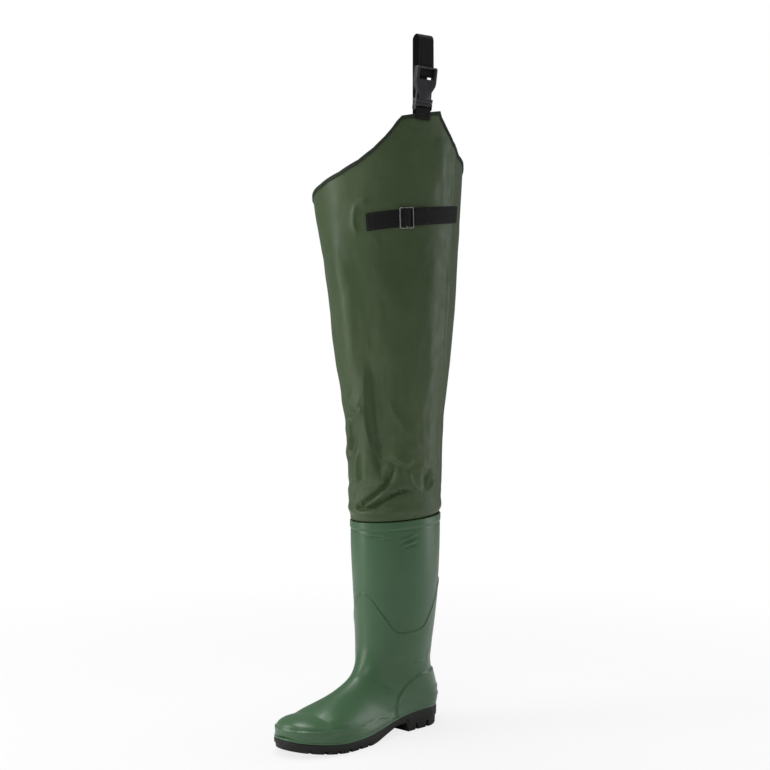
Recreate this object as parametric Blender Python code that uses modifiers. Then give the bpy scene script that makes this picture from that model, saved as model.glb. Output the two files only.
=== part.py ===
"""A hip wader for the left leg: a rubber boot, a coated fabric leg and the webbing that holds it up.

Metres, +Z up. The toe points to -Y and the outer side of the leg faces +X.
The origin is on the floor under the middle of the heel. "Along" is measured forward
from the back of the sole, and "turn" goes round the leg: 0 is the outer side, a quarter
turn is the front, half a turn the inner side and three quarters the back.
"""

from collections import namedtuple
from math import cos, degrees, pi, radians, sin

import bmesh
import bpy
from mathutils import Matrix, Vector

# Room left between two pieces that touch
GAP = 0.0003

# Sole
SOLE_LENGTH = 0.304
BALL_WIDTH = 0.106
HEEL_HEIGHT = 0.028
FOREFOOT_HEIGHT = 0.0135
TOE_SPRING = 0.010
HEEL_TO_ORIGIN = 0.049
GROOVE_DEPTH = 0.0045
GROOVE_WIDTH = 0.006
HEEL_GROOVE_DEPTH = 0.010
TREAD_CHANNEL = 0.007

# Welt and insole
WELT_HEIGHT = 0.0035
INSOLE_THICKNESS = 0.003
INSOLE_INSET = 0.006

# Boot
BOOT_HEIGHT = 0.316
ANKLE_HEIGHT = 0.140
INSTEP_HEIGHT = 0.098
RIM_DEPTH = 0.152
RIM_WIDTH = 0.120
SHAFT_CENTRE = 0.074
BOOT_WALL = 0.0025
RIM_BAND = 0.009
BAND_STEP = 0.0008
FLANGE_WIDTH = 0.014

# Leg
THIGH_DEPTH = 0.246
THIGH_WIDTH = 0.206
HIP_HEIGHT = 0.913
LEG_LAP = 0.022
LEG_WALL = 0.001
BINDING_WALL = 0.001
BINDING_HEIGHT = 0.0045

# Webbing and buckle
WEBBING_WIDTH = 0.025
WEBBING_THICKNESS = 0.0015
SLOT_PLAY = 0.0005
BELT_TURN = radians(16)
BELT_LOOP_RISE = 0.0476
BELT_LOOP_DEPTH = 0.016
BELT_LAP = 0.026
TAB_LAP = 0.009
TAB_RISE = 0.0068
SOCKET_WIDTH = 0.035
SOCKET_LENGTH = 0.050
BUCKLE_THICKNESS = 0.0095
PLUG_WIDTH = 0.0292
PLUG_LENGTH = 0.0103
PLUG_THICKNESS = 0.0085
PRONG_LENGTH = 0.024
PRONG_THICKNESS = 0.0046
STRAP_BAR = 0.0027
STRAP_BAR_DROP = 0.011
TAB_BAR = 0.0034
FRONT_BAR = 0.0025
FRONT_BAR_BACK = 0.0012
WINDOW_LENGTH = 0.0175
BUCKLE_CHAMFER = 0.0008
PLUG_CHAMFER = 0.0006
PRONG_CHAMFER = 0.0004

# Thigh strap and its slider: turns round the leg and heights of its middle line
STRAP_FRONT_TURN = radians(59)
STRAP_BACK_TURN = radians(-26)
STRAP_FRONT_HEIGHT = 0.750
STRAP_BACK_HEIGHT = 0.771
SLIDER_TURN = radians(28)
SLIDER_LENGTH = 0.022
SLIDER_WIRE = 0.0019
TAIL_TURN = radians(9)

# Where the plies of webbing lie, out of the leg's face, and the buckle's levels above the tab's bar
PLY = WEBBING_THICKNESS + GAP
OUTER_PLY = BINDING_WALL + 3 * GAP + WEBBING_THICKNESS / 2
INNER_PLY = -LEG_WALL - OUTER_PLY
BELT_PLY = INNER_PLY - PLY
TAB_BAR_OUT = (OUTER_PLY + INNER_PLY) / 2
STRAP_WALL = GAP + WEBBING_THICKNESS / 2
SOCKET_START = PLUG_LENGTH - TAB_BAR / 2 + GAP
SOCKET_END = SOCKET_START + SOCKET_LENGTH
STRAP_BAR_PLACE = SOCKET_END - STRAP_BAR_DROP
BELT_LEVEL = FRONT_BAR_BACK - STRAP_WALL
BELT_BEND = STRAP_BAR / 2 + STRAP_WALL
WINDOW_START = SOCKET_END - WINDOW_LENGTH

COLLECTION = "hip_wader"

# Half widths of the sole along its length: along is a share of SOLE_LENGTH, the rest shares of BALL_WIDTH
OutlineRow = namedtuple("OutlineRow", "along outer inner")
OUTLINE = [OutlineRow(*row) for row in (
    (0.00, 0.372, 0.364),
    (0.13, 0.373, 0.364),
    (0.25, 0.368, 0.344),
    (0.37, 0.387, 0.315),
    (0.47, 0.432, 0.345),
    (0.58, 0.486, 0.412),
    (0.69, 0.507, 0.470),
    (0.78, 0.500, 0.493),
    (0.88, 0.470, 0.484),
    (1.00, 0.440, 0.470),
)]
HEEL_ROUND = 0.135
OUTER_TOE_ROUND = 0.72
INNER_TOE_ROUND = 0.78
TOE_POWER = 2.25

# Underside of the sole: along is a share of SOLE_LENGTH, height a share of HEEL_HEIGHT
UndersideRow = namedtuple("UndersideRow", "along height")
UNDERSIDE = [UndersideRow(*row) for row in (
    (0.000, 0.10),
    (0.025, 0.00),
    (0.275, 0.00),
    (0.292, 0.52),
    (0.360, 0.50),
    (0.450, 0.27),
    (0.520, 0.08),
    (0.570, 0.00),
    (1.000, 0.00),
)]

# Side of the sole from the floor up: height is a share of its thickness there, inset a share of WELT_HEIGHT
SideRow = namedtuple("SideRow", "height inset")
SOLE_SIDE = [SideRow(*row) for row in (
    (0.00, 0.55),
    (0.46, 0.40),
    (0.52, 0.05),
    (0.93, 0.00),
    (1.00, 0.20),
)]

# Section of the welt: rise and inset from the sole's upper edge, over WELT_HEIGHT
WeltRow = namedtuple("WeltRow", "rise inset")
WELT_PROFILE = [WeltRow(*row) for row in (
    (0.00, 0.20),
    (0.55, 0.08),
    (1.00, 0.55),
    (0.90, 3.30),
    (0.00, 3.30),
)]

# Grooves across the tread: shares of SOLE_LENGTH, and for the heel ones cut higher up its side
FOREFOOT_GROOVES = (0.60, 0.665, 0.73, 0.795, 0.86, 0.925)
HEEL_GROOVES = (0.07, 0.145, 0.22)

# Sections of the shaft from the rim down. Alongs are shares of RIM_DEPTH from the shaft's centre,
# heights shares of the way from the ankle to the rim, half widths shares of RIM_WIDTH.
ShaftRow = namedtuple("ShaftRow", "front front_height back back_height outer inner")
SHAFT = [ShaftRow(*row) for row in (
    (0.500, 0.988, -0.500, 1.045, 0.500, 0.500),
    (0.493, 0.740, -0.493, 0.740, 0.496, 0.496),
    (0.474, 0.455, -0.474, 0.443, 0.479, 0.479),
    (0.456, 0.199, -0.434, 0.159, 0.454, 0.454),
    (0.452, 0.000, -0.388, -0.125, 0.421, 0.421),
)]

# Sections of the foot from the ankle to the toe. Alongs are shares of SOLE_LENGTH, heights shares of
# INSTEP_HEIGHT (the back one above the sole), half widths shares of BALL_WIDTH. Waist is where the
# section is widest, from back to front, and power how square its lower half is.
FootRow = namedtuple("FootRow", "front front_height back back_height outer inner waist power")
FOOT = [FootRow(*row) for row in (
    (0.474, 1.245, 0.050, 0.653, 0.453, 0.453, 0.50, 2.0),
    (0.490, 1.102, 0.022, 0.388, 0.415, 0.408, 0.46, 2.2),
    (0.513, 0.995, 0.009, 0.190, 0.380, 0.375, 0.42, 2.6),
    (0.539, 0.915, 0.024, 0.040, 0.355, 0.350, 0.40, 3.2),
    (0.573, 0.845, 0.098, 0.000, 0.348, 0.335, 0.38, 3.8),
    (0.616, 0.784, 0.207, 0.000, 0.347, 0.318, 0.36, 4.4),
    (0.664, 0.732, 0.333, 0.000, 0.360, 0.300, 0.34, 4.8),
    (0.713, 0.682, 0.467, 0.000, 0.412, 0.330, 0.33, 5.0),
    (0.761, 0.634, 0.583, 0.000, 0.458, 0.390, 0.33, 5.0),
    (0.805, 0.586, 0.683, 0.000, 0.470, 0.436, 0.34, 5.0),
    (0.846, 0.534, 0.767, 0.000, 0.440, 0.440, 0.36, 5.0),
)]

# Outlines of the parts of the boot whose wall is thicker, seen from the side. Alongs are shares of
# SOLE_LENGTH and heights shares of BOOT_HEIGHT: all below the line stands out from the wall above it.
ReliefRow = namedtuple("ReliefRow", "along height")
ANKLE_LINE = [ReliefRow(*row) for row in (
    (-0.10, 0.700),
    (0.135, 0.640),
    (0.165, 0.570),
    (0.190, 0.525),
    (0.235, 0.500),
    (0.290, 0.484),
    (0.350, 0.480),
    (0.405, 0.478),
    (0.430, 0.500),
    (0.452, 0.560),
    (0.472, 0.640),
    (0.490, 0.675),
    (0.700, 0.690),
)]
COUNTER_LINE = [ReliefRow(*row) for row in (
    (-0.10, 0.300),
    (0.180, 0.276),
    (0.235, 0.256),
    (0.295, 0.222),
    (0.335, 0.196),
    (0.360, 0.163),
    (0.385, 0.110),
    (0.395, -0.05),
)]
TOE_GUARD_LINE = [ReliefRow(*row) for row in (
    (0.400, -0.05),
    (0.520, 0.055),
    (0.690, 0.074),
    (0.815, 0.086),
    (0.890, 0.096),
    (0.960, 0.116),
    (1.100, 0.130),
)]
ANKLE_RELIEF = 0.0010
COUNTER_RELIEF = 0.0022
TOE_GUARD_RELIEF = 0.0022
TOE_TIP = 0.983
TOE_TIP_HEIGHT = 0.34
NOSE_POWER = 2.3
NOSE_TURNS = (18, 36, 53, 68, 79, 86)

# Sections of the leg, from the boot up: height is a share of the way from the boot's rim to the hip,
# depth a share of THIGH_DEPTH, width of THIGH_WIDTH, and lean how far forward of the boot's shaft the
# middle stands, over THIGH_DEPTH
LegRow = namedtuple("LegRow", "height depth width lean")
LEG = [LegRow(*row) for row in (
    (-0.040, 0.288, 0.270, 0.000),
    (0.000, 0.289, 0.271, 0.000),
    (0.014, 0.290, 0.272, 0.000),
    (0.030, 0.308, 0.290, 0.000),
    (0.060, 0.316, 0.304, 0.006),
    (0.130, 0.320, 0.310, 0.002),
    (0.200, 0.324, 0.320, 0.005),
    (0.265, 0.337, 0.330, 0.010),
    (0.330, 0.362, 0.354, 0.013),
    (0.390, 0.386, 0.378, 0.017),
    (0.450, 0.404, 0.396, 0.023),
    (0.565, 0.436, 0.428, 0.032),
    (0.690, 0.464, 0.458, 0.052),
    (0.800, 0.493, 0.489, 0.070),
    (1.000, 0.525, 0.523, 0.077),
)]

# Top edge of the leg: turn in degrees, height a share of the way from the boot's rim to the hip
EdgeRow = namedtuple("EdgeRow", "turn height")
TOP_EDGE = [EdgeRow(*row) for row in (
    (-0.5, 0.987),
    (1.0, 1.000),
    (31.0, 0.978),
    (34.5, 0.965),
    (38.5, 0.946),
    (43.0, 0.928),
    (51.5, 0.900),
    (62.5, 0.873),
    (79.0, 0.847),
    (101.5, 0.824),
    (135.0, 0.802),
    (180.0, 0.787),
    (225.0, 0.797),
    (270.0, 0.845),
    (320.0, 0.898),
    (334.5, 0.907),
    (341.5, 0.924),
    (346.5, 0.941),
    (352.0, 0.958),
    (359.5, 0.987),
)]
LEG_TURN_STEP = 12
BOOT_COLUMNS = 30
BOOT_TURNS = [2 * pi * column / BOOT_COLUMNS for column in range(BOOT_COLUMNS)]

# Half of the socket's outline: half width over SOCKET_WIDTH, height a share of SOCKET_LENGTH
SocketRow = namedtuple("SocketRow", "width height")
SOCKET = [SocketRow(*row) for row in (
    (0.415, 0.00),
    (0.417, 0.09),
    (0.300, 0.105),
    (0.268, 0.15),
    (0.275, 0.22),
    (0.335, 0.31),
    (0.420, 0.41),
    (0.480, 0.49),
    (0.500, 0.58),
    (0.500, 0.94),
    (0.475, 1.00),
)]

# The strap's way through the slider: forward from its middle and out of the leg, over the slider's
# bar spacing and its wire
ThreadRow = namedtuple("ThreadRow", "forward lift")
THREAD = [ThreadRow(*row) for row in (
    (1.25, 0.0),
    (1.00, 0.0),
    (0.74, 0.07),
    (0.34, 0.82),
    (0.14, 1.0),
    (-0.14, 1.0),
    (-0.34, 0.82),
    (-0.74, 0.07),
    (-1.00, 0.0),
    (-1.25, 0.0),
)]


def smooth(part):
    """Rises from 0 to 1 with level ends."""
    part = min(max(part, 0), 1)
    return part * part * (3 - 2 * part)


def hermite(start, end, start_slope, end_slope, part):
    square = part * part
    cube = square * part
    value = (2 * cube - 3 * square + 1) * start + (3 * square - 2 * cube) * end
    return value + (cube - 2 * square + part) * start_slope + (cube - square) * end_slope


def row_at(rows, place):
    """A row between the rows of a table, at a place counted in rows, on a smooth curve."""
    last = len(rows) - 1
    low = min(int(place), last - 1)
    near = [rows[min(max(low + step, 0), last)] for step in (-1, 0, 1, 2)]
    return type(rows[0])(*(
        hermite(start, end, (end - before) / 2, (after - start) / 2, place - low)
        for before, start, end, after in zip(*near)
    ))


def read_smooth(rows, place):
    """A row of a table at a place in its first column, on a smooth curve through its rows."""
    last = len(rows) - 1
    low = max([index for index in range(last) if rows[index][0] <= place], default=0)
    before, start, end, after = (rows[min(max(low + step, 0), last)] for step in (-1, 0, 1, 2))
    span = end[0] - start[0]
    part = min(max((place - start[0]) / span, 0), 1)
    in_scale = span / (end[0] - before[0])
    out_scale = span / (after[0] - start[0])
    return type(start)(*(
        hermite(b, c, (c - a) * in_scale, (d - b) * out_scale, part)
        for a, b, c, d in zip(before, start, end, after)
    ))


def read_straight(rows, place):
    """The second column of a table at a place in its first one, on straight lines."""
    for start, end in zip(rows, rows[1:]):
        if place <= end[0]:
            return start[1] + (end[1] - start[1]) * max(place - start[0], 0) / (end[0] - start[0])
    return rows[-1][1]


def world(x, along, height):
    return Vector((x, HEEL_TO_ORIGIN - along, height))


def toe_rise(share):
    return max(0, (share - 0.72) / 0.28) ** 1.8


def sole_top(along):
    share = along / SOLE_LENGTH
    drop = (HEEL_HEIGHT - FOREFOOT_HEIGHT) * smooth((0.683 - share) / 0.516)
    return FOREFOOT_HEIGHT + drop + TOE_SPRING * toe_rise(share)


def sole_bottom(along):
    share = along / SOLE_LENGTH
    return HEEL_HEIGHT * read_straight(UNDERSIDE, share) + TOE_SPRING * toe_rise(share)


def rounding(share, outer):
    """How far the outline has narrowed at the round heel and toe."""
    if share < HEEL_ROUND:
        return (1 - (1 - share / HEEL_ROUND) ** 2) ** 0.5
    start = OUTER_TOE_ROUND if outer else INNER_TOE_ROUND
    if share > start:
        return max(0, 1 - ((share - start) / (1 - start)) ** TOE_POWER) ** (1 / TOE_POWER)
    return 1


def outline(share, outer):
    """Half width of the sole on its outer or inner side."""
    row = read_smooth(OUTLINE, share)
    return BALL_WIDTH * (row.outer if outer else row.inner) * rounding(share, outer)


def sole_stations():
    """Shares of the length where the sole gets a section, closer together at its round ends."""
    heel = [HEEL_ROUND * (1 - cos(radians(turn))) for turn in (7, 22, 38, 54, 72)]
    middle = [0.16, 0.20, 0.24, 0.275, 0.292, 0.33, 0.36, 0.40, 0.45, 0.485, 0.52, 0.57]
    ball = [0.61, 0.65, 0.69, OUTER_TOE_ROUND]
    toe = [1 - (1 - OUTER_TOE_ROUND) * (1 - sin(radians(turn))) for turn in (14, 27, 40, 52, 63, 72, 80, 86)]
    return heel + [0.025] + middle + ball + toe


def loft(name, rings, wrap=False):
    """Joins rings of points into a closed solid: capped at both ends, or joined round."""
    count = len(rings[0])
    points = [point for ring in rings for point in ring]
    faces = []
    for row in range(len(rings) if wrap else len(rings) - 1):
        here = row * count
        there = (row + 1) % len(rings) * count
        for column in range(count):
            beside = (column + 1) % count
            faces.append((here + column, here + beside, there + beside, there + column))
    if not wrap:
        faces.append(tuple(range(count)))
        faces.append(tuple(range(len(points) - count, len(points))))
    return solid(name, points, faces)


def wall_between(name, outer, inner):
    """A wall between two like grids of rings, open at both ends."""
    count = len(outer[0])
    points = [point for ring in outer + inner for point in ring]
    behind = len(points) // 2
    sheet = []
    for row in range(len(outer) - 1):
        for column in range(count):
            beside = (column + 1) % count
            here = row * count
            sheet.append((here + column, here + beside, here + count + beside, here + count + column))
    edges = {(face[index - 1], face[index]) for face in sheet for index in range(len(face))}
    rims = [(b, a, a + behind, b + behind) for a, b in sorted(edges) if (b, a) not in edges]
    lining = [tuple(corner + behind for corner in reversed(face)) for face in sheet]
    return solid(name, points, sheet + lining + rims)


def solid(name, points, faces):
    """A mesh object with its faces pointing out and no loose points."""
    mesh = bpy.data.meshes.new(name)
    mesh.from_pydata(points, [], faces)
    shape = bmesh.new()
    shape.from_mesh(mesh)
    bmesh.ops.delete(shape, geom=[vert for vert in shape.verts if not vert.link_faces], context="VERTS")
    bmesh.ops.recalc_face_normals(shape, faces=shape.faces)
    shape.to_mesh(mesh)
    shape.free()
    mesh.shade_smooth()
    mesh.set_sharp_from_angle(angle=radians(40))
    return bpy.data.objects.new(name, mesh)


def add_piece(piece, colour, roughness, metallic=0.0):
    """Puts a piece in the model's collection with its own material."""
    material = bpy.data.materials.new(piece.name + "_finish")
    material.use_nodes = True
    shader = material.node_tree.nodes["Principled BSDF"]
    shader.inputs["Base Color"].default_value = (*colour, 1)
    shader.inputs["Roughness"].default_value = roughness
    shader.inputs["Metallic"].default_value = metallic
    piece.data.materials.clear()
    piece.data.materials.append(material)
    bpy.data.collections[COLLECTION].objects.link(piece)
    return piece


def add_cutter(cutter):
    """Keeps a solid that only cuts others out of the model."""
    bpy.data.collections["cutters"].objects.link(cutter)
    cutter.hide_render = True
    cutter.display_type = "WIRE"
    return cutter


def boolean(piece, other, operation):
    modifier = piece.modifiers.new(operation.lower() + "_" + other.name, "BOOLEAN")
    modifier.operation = operation
    modifier.object = other
    modifier.solver = "EXACT"


Section = namedtuple("Section", "front_along front_height back_along back_height outer inner waist power")


def boot_sections():
    """The boot's sections from the rim to the toe, in metres."""
    shaft_rise = BOOT_HEIGHT - ANKLE_HEIGHT
    sections = [
        Section(
            SHAFT_CENTRE + row.front * RIM_DEPTH,
            ANKLE_HEIGHT + row.front_height * shaft_rise,
            SHAFT_CENTRE + row.back * RIM_DEPTH,
            ANKLE_HEIGHT + row.back_height * shaft_rise,
            row.outer * RIM_WIDTH,
            row.inner * RIM_WIDTH,
            0.5,
            2.0,
        )
        for row in SHAFT
    ]
    for row in FOOT:
        back_along = row.back * SOLE_LENGTH
        sections.append(Section(
            row.front * SOLE_LENGTH,
            row.front_height * INSTEP_HEIGHT,
            back_along,
            sole_top(back_along) + GAP + row.back_height * INSTEP_HEIGHT,
            row.outer * BALL_WIDTH,
            row.inner * BALL_WIDTH,
            row.waist,
            row.power,
        ))
    return sections


SECTIONS = boot_sections()
NOSE_START = len(SECTIONS) - 1


def boot_point(place, turn):
    """A point of the boot's outer face. Past NOSE_START, each unit of place is 90 degrees of the nose."""
    section = row_at(SECTIONS, min(place, NOSE_START))
    up = sin(turn)
    across = cos(turn)
    power = 2 / section.power if up < 0 else 1
    side = section.outer if across > 0 else -section.inner
    reach = abs(up) ** power
    if up > 0:
        reach *= 1 - section.waist
    else:
        reach *= -section.waist
    reach += section.waist
    x = side * abs(across) ** power
    along = section.back_along + (section.front_along - section.back_along) * reach
    height = section.back_height + (section.front_height - section.back_height) * reach
    if place > NOSE_START:
        quarter = (place - NOSE_START) * pi / 2
        shrink = max(cos(quarter), 0) ** (2 / NOSE_POWER)
        advance = sin(quarter) ** (2 / NOSE_POWER)
        middle_along = (section.back_along + section.front_along) / 2
        middle_height = (section.back_height + section.front_height) / 2
        tip_along = TOE_TIP * SOLE_LENGTH
        x *= shrink
        along = middle_along + (along - middle_along) * shrink + (tip_along - middle_along) * advance
        height_move = TOE_TIP_HEIGHT * INSTEP_HEIGHT - middle_height
        height = middle_height + (height - middle_height) * shrink + height_move * advance
    return world(x, along, max(height, sole_top(along) + GAP))


def boot_normal(place, turn):
    """The way out of the boot's face."""
    step = 0.02
    last = NOSE_START + NOSE_TURNS[-1] / 90
    low = max(place - step, 0)
    high = min(place + step, last)
    down = boot_point(high, turn) - boot_point(low, turn)
    round_leg = boot_point(place, turn + step) - boot_point(place, turn - step)
    return round_leg.cross(down).normalized()


def boot_places():
    """Where the boot gets its rings, with a pair at the lower edge of the rim band."""
    rise = SECTIONS[0].front_height - SECTIONS[1].front_height
    band = RIM_BAND / rise
    places = [0, band, band + 0.025, 0.55]
    for row in range(1, len(SHAFT)):
        places += [row, row + 0.5] if row > 2 else [row]
    for row in range(len(SHAFT), NOSE_START):
        places += [row, row + 0.5] if row < NOSE_START - 4 else [row]
    places += [NOSE_START]
    places += [NOSE_START + turn / 90 for turn in NOSE_TURNS]
    return places, band


def boot_grid(out, banded=False):
    """Rings of the boot's face, moved out by a distance, and more in the rim band."""
    places, band = boot_places()
    rings = []
    for place in places:
        extra = BAND_STEP if banded and place <= band else 0
        reach = out + extra
        rings.append([boot_point(place, turn) + boot_normal(place, turn) * reach for turn in BOOT_TURNS])
    return rings


def thicker_part(name, line, relief, welt_room):
    """The boot's form grown by a relief, kept below a line and above the welt."""
    part = add_cutter(loft(name, boot_grid(relief)))
    low = -0.1 * BOOT_HEIGHT
    side = [(row.along * SOLE_LENGTH, row.height * BOOT_HEIGHT) for row in line]
    side += [(side[-1][0], low), (side[0][0], low)]
    block = add_cutter(loft(name + "_block", [
        [world(half * RIM_WIDTH, along, height) for along, height in side] for half in (-1, 1)
    ]))
    rings = []
    for share in [-0.1] + sorted(sole_stations()) + [1.1]:
        along = share * SOLE_LENGTH
        high = sole_top(along) + WELT_HEIGHT + welt_room
        corners = ((-RIM_WIDTH, 2 * low), (RIM_WIDTH, 2 * low), (RIM_WIDTH, high), (-RIM_WIDTH, high))
        rings.append([world(x, along, height) for x, height in corners])
    below = add_cutter(loft(name + "_welt_room", rings))
    boolean(part, block, "INTERSECT")
    boolean(part, below, "DIFFERENCE")
    return part


def make_boot():
    """The upper: one moulded wall, open at the rim and underneath, where the sole closes it."""
    boot = loft("boot", boot_grid(0, True))
    boolean(boot, thicker_part("ankle", ANKLE_LINE, ANKLE_RELIEF, 2.0 * GAP), "UNION")
    boolean(boot, thicker_part("heel_counter", COUNTER_LINE, COUNTER_RELIEF, 1.9 * GAP), "UNION")
    boolean(boot, thicker_part("toe_guard", TOE_GUARD_LINE, TOE_GUARD_RELIEF, 2.1 * GAP), "UNION")
    inner = boot_grid(-BOOT_WALL)
    above = [point + Vector((0, 0, RIM_BAND)) for point in inner[0]]
    boolean(boot, add_cutter(loft("boot_room", [above] + inner)), "DIFFERENCE")

    def under(along):
        return sole_top(along) - BOOT_WALL

    def over(along):
        return sole_top(along) + 3 * BOOT_WALL

    levels = [SideRow(0, 0), SideRow(1, 0)]
    rings = [sole_ring(share, levels, FLANGE_WIDTH, under, over) for share in sorted(sole_stations())[::2]]
    boolean(boot, add_cutter(loft("sole_opening", rings)), "DIFFERENCE")
    add_piece(boot, (0.085, 0.150, 0.095), 0.32)


def sole_ring(share, levels, inset, bottom, top):
    """One section of a flat solid that follows the sole, up its outer side and down its inner one."""
    ring = []
    for outer in (True, False):
        for level in levels if outer else reversed(levels):
            inward = inset + level.inset * WELT_HEIGHT
            width = max(outline(share, outer) - inward, 0.001)
            along = share * SOLE_LENGTH + inward * (1 - 2 * share)
            low = bottom(share * SOLE_LENGTH)
            high = top(share * SOLE_LENGTH)
            ring.append(world(width if outer else -width, along, low + (high - low) * level.height))
    return ring


def groove_bar(name, grooves, depth):
    """Bars across the sole that taper upwards, as the tread's grooves do."""
    shape = bmesh.new()
    below = 0.004
    for share in grooves:
        along = share * SOLE_LENGTH
        floor = TOE_SPRING * toe_rise(share)
        place = Matrix.Translation(world(0, along, floor + (depth - below) / 2))
        size = Matrix.Diagonal((BALL_WIDTH * 1.3, GROOVE_WIDTH, depth + below, 1))
        bar = bmesh.ops.create_cube(shape, size=1, matrix=place @ size)["verts"]
        for vert in bar:
            if vert.co.z > floor:
                vert.co.y += (world(0, along, 0).y - vert.co.y) * 0.35
    mesh = bpy.data.meshes.new(name)
    shape.to_mesh(mesh)
    shape.free()
    return add_cutter(bpy.data.objects.new(name, mesh))


def channel_bar():
    """The channel down the middle of the tread, under the forefoot."""
    shape = bmesh.new()
    length = 0.30 * SOLE_LENGTH
    place = Matrix.Translation(world(0, 0.735 * SOLE_LENGTH, GROOVE_DEPTH * 0.4))
    size = Matrix.Diagonal((TREAD_CHANNEL, length, GROOVE_DEPTH, 1))
    bmesh.ops.create_cube(shape, size=1, matrix=place @ size)
    mesh = bpy.data.meshes.new("tread_channel")
    shape.to_mesh(mesh)
    shape.free()
    return add_cutter(bpy.data.objects.new("tread_channel", mesh))


def make_outsole():
    """The black sole with its heel, arch, toe spring, side step and lugs."""
    rings = [sole_ring(share, SOLE_SIDE, 0, sole_bottom, sole_top) for share in sorted(sole_stations())]
    sole = loft("outsole", rings)
    boolean(sole, groove_bar("forefoot_grooves", FOREFOOT_GROOVES, GROOVE_DEPTH), "DIFFERENCE")
    boolean(sole, groove_bar("heel_grooves", HEEL_GROOVES, HEEL_GROOVE_DEPTH), "DIFFERENCE")
    boolean(sole, channel_bar(), "DIFFERENCE")
    add_piece(sole, (0.022, 0.020, 0.017), 0.55)


def make_welt():
    """The raised ridge round the foot that covers the joint of upper and sole."""
    rings = []
    stations = sorted(sole_stations())
    round_trip = [(share, True) for share in stations] + [(share, False) for share in reversed(stations)]
    for share, outer in round_trip:
        ahead = world(outline(share + 0.001, outer), (share + 0.001) * SOLE_LENGTH, 0)
        behind = world(outline(share - 0.001, outer), (share - 0.001) * SOLE_LENGTH, 0)
        edge = (ahead - behind).normalized()
        inward = Vector((edge.y, -edge.x, 0))
        if not outer:
            inward.x = -inward.x
        width = outline(share, outer)
        along = share * SOLE_LENGTH
        foot = world(width if outer else -width, along, 0)
        ring = []
        for rise, inset in WELT_PROFILE:
            point = foot + inward * inset * WELT_HEIGHT
            point.z = sole_top(HEEL_TO_ORIGIN - point.y) + GAP + rise * WELT_HEIGHT
            ring.append(point)
        rings.append(ring)
    welt = loft("welt", rings, wrap=True)
    room = add_cutter(loft("upper_room", boot_grid(GAP)))
    boolean(welt, room, "DIFFERENCE")
    add_piece(welt, (0.090, 0.155, 0.100), 0.35)


def make_insole():
    """The insole, lying on the flange that the upper turns under the foot."""

    def seat(along):
        return sole_top(along) + GAP + BOOT_WALL + GAP

    def face(along):
        return seat(along) + INSOLE_THICKNESS

    levels = [SideRow(0, 0), SideRow(1, 0)]
    rings = [sole_ring(share, levels, INSOLE_INSET, seat, face) for share in sorted(sole_stations())[::2]]
    insole = loft("insole", rings)
    inside = add_cutter(loft("boot_inside", boot_grid(-BOOT_WALL - GAP)))
    boolean(insole, inside, "INTERSECT")
    add_piece(insole, (0.10, 0.10, 0.09), 0.9)


def leg_height(share):
    return BOOT_HEIGHT + share * (HIP_HEIGHT - BOOT_HEIGHT)


def leg_point(turn, height, out=0):
    """A point of the leg's outer face at a turn and a height, moved out by a distance."""
    share = (height - BOOT_HEIGHT) / (HIP_HEIGHT - BOOT_HEIGHT)
    row = read_smooth(LEG, share)
    depth = row.depth * THIGH_DEPTH
    width = row.width * THIGH_WIDTH
    way = Vector((cos(turn) * depth, -sin(turn) * width, 0)).normalized()
    along = SHAFT_CENTRE + row.lean * THIGH_DEPTH + depth * sin(turn)
    return world(width * cos(turn), along, height) + way * out


def top_edge(turn):
    """Height of the leg's top edge."""
    place = degrees(turn) % 360
    if place > TOP_EDGE[-1].turn:
        place -= 360
    return leg_height(read_straight(TOP_EDGE, place))


def leg_turns():
    """Turns of the leg's columns: even ones, and each corner of its top edge."""
    corners = [row.turn % 360 for row in TOP_EDGE[1:]]
    corners += [degrees(turn) for turn in tab_turns()]
    apart = LEG_TURN_STEP / 2.5
    even = range(0, 360, LEG_TURN_STEP)
    kept = [turn for turn in even if all(abs(turn - corner) > apart for corner in corners)]
    return [radians(turn) for turn in sorted(corners + kept)]


def leg_grid(out):
    """Rings of the leg from its lower end inside the boot to its top edge."""
    low = BOOT_HEIGHT - LEG_LAP
    shares = [0, 0.034, 0.055, 0.080] + [0.12 + 0.88 * step / 10 for step in range(11)]
    return [
        [leg_point(turn, low + (top_edge(turn) - low) * share, out) for turn in leg_turns()]
        for share in shares
    ]


def make_leg():
    """The leg: a tube of coated fabric that stands in the boot and rises to the hip tab."""
    add_piece(wall_between("leg", leg_grid(0), leg_grid(-LEG_WALL)), (0.055, 0.075, 0.042), 0.5)


def make_top_binding():
    """A tape folded over the leg's top edge."""
    near = GAP
    far = GAP + BINDING_WALL
    profile = (
        (near, -BINDING_HEIGHT),
        (near, near),
        (-LEG_WALL - near, near),
        (-LEG_WALL - near, -BINDING_HEIGHT),
        (-LEG_WALL - far, -BINDING_HEIGHT),
        (-LEG_WALL - far, far),
        (far, far),
        (far, -BINDING_HEIGHT),
    )
    rings = []
    for turn in leg_turns():
        edge = top_edge(turn)
        ring = []
        for out, rise in profile:
            point = leg_point(turn, edge, out)
            below = leg_point(turn, edge + min(rise, 0), out)
            ring.append(Vector((below.x, below.y, point.z + rise)))
        rings.append(ring)
    add_piece(loft("top_binding", rings, wrap=True), (0.025, 0.030, 0.020), 0.6)


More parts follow.
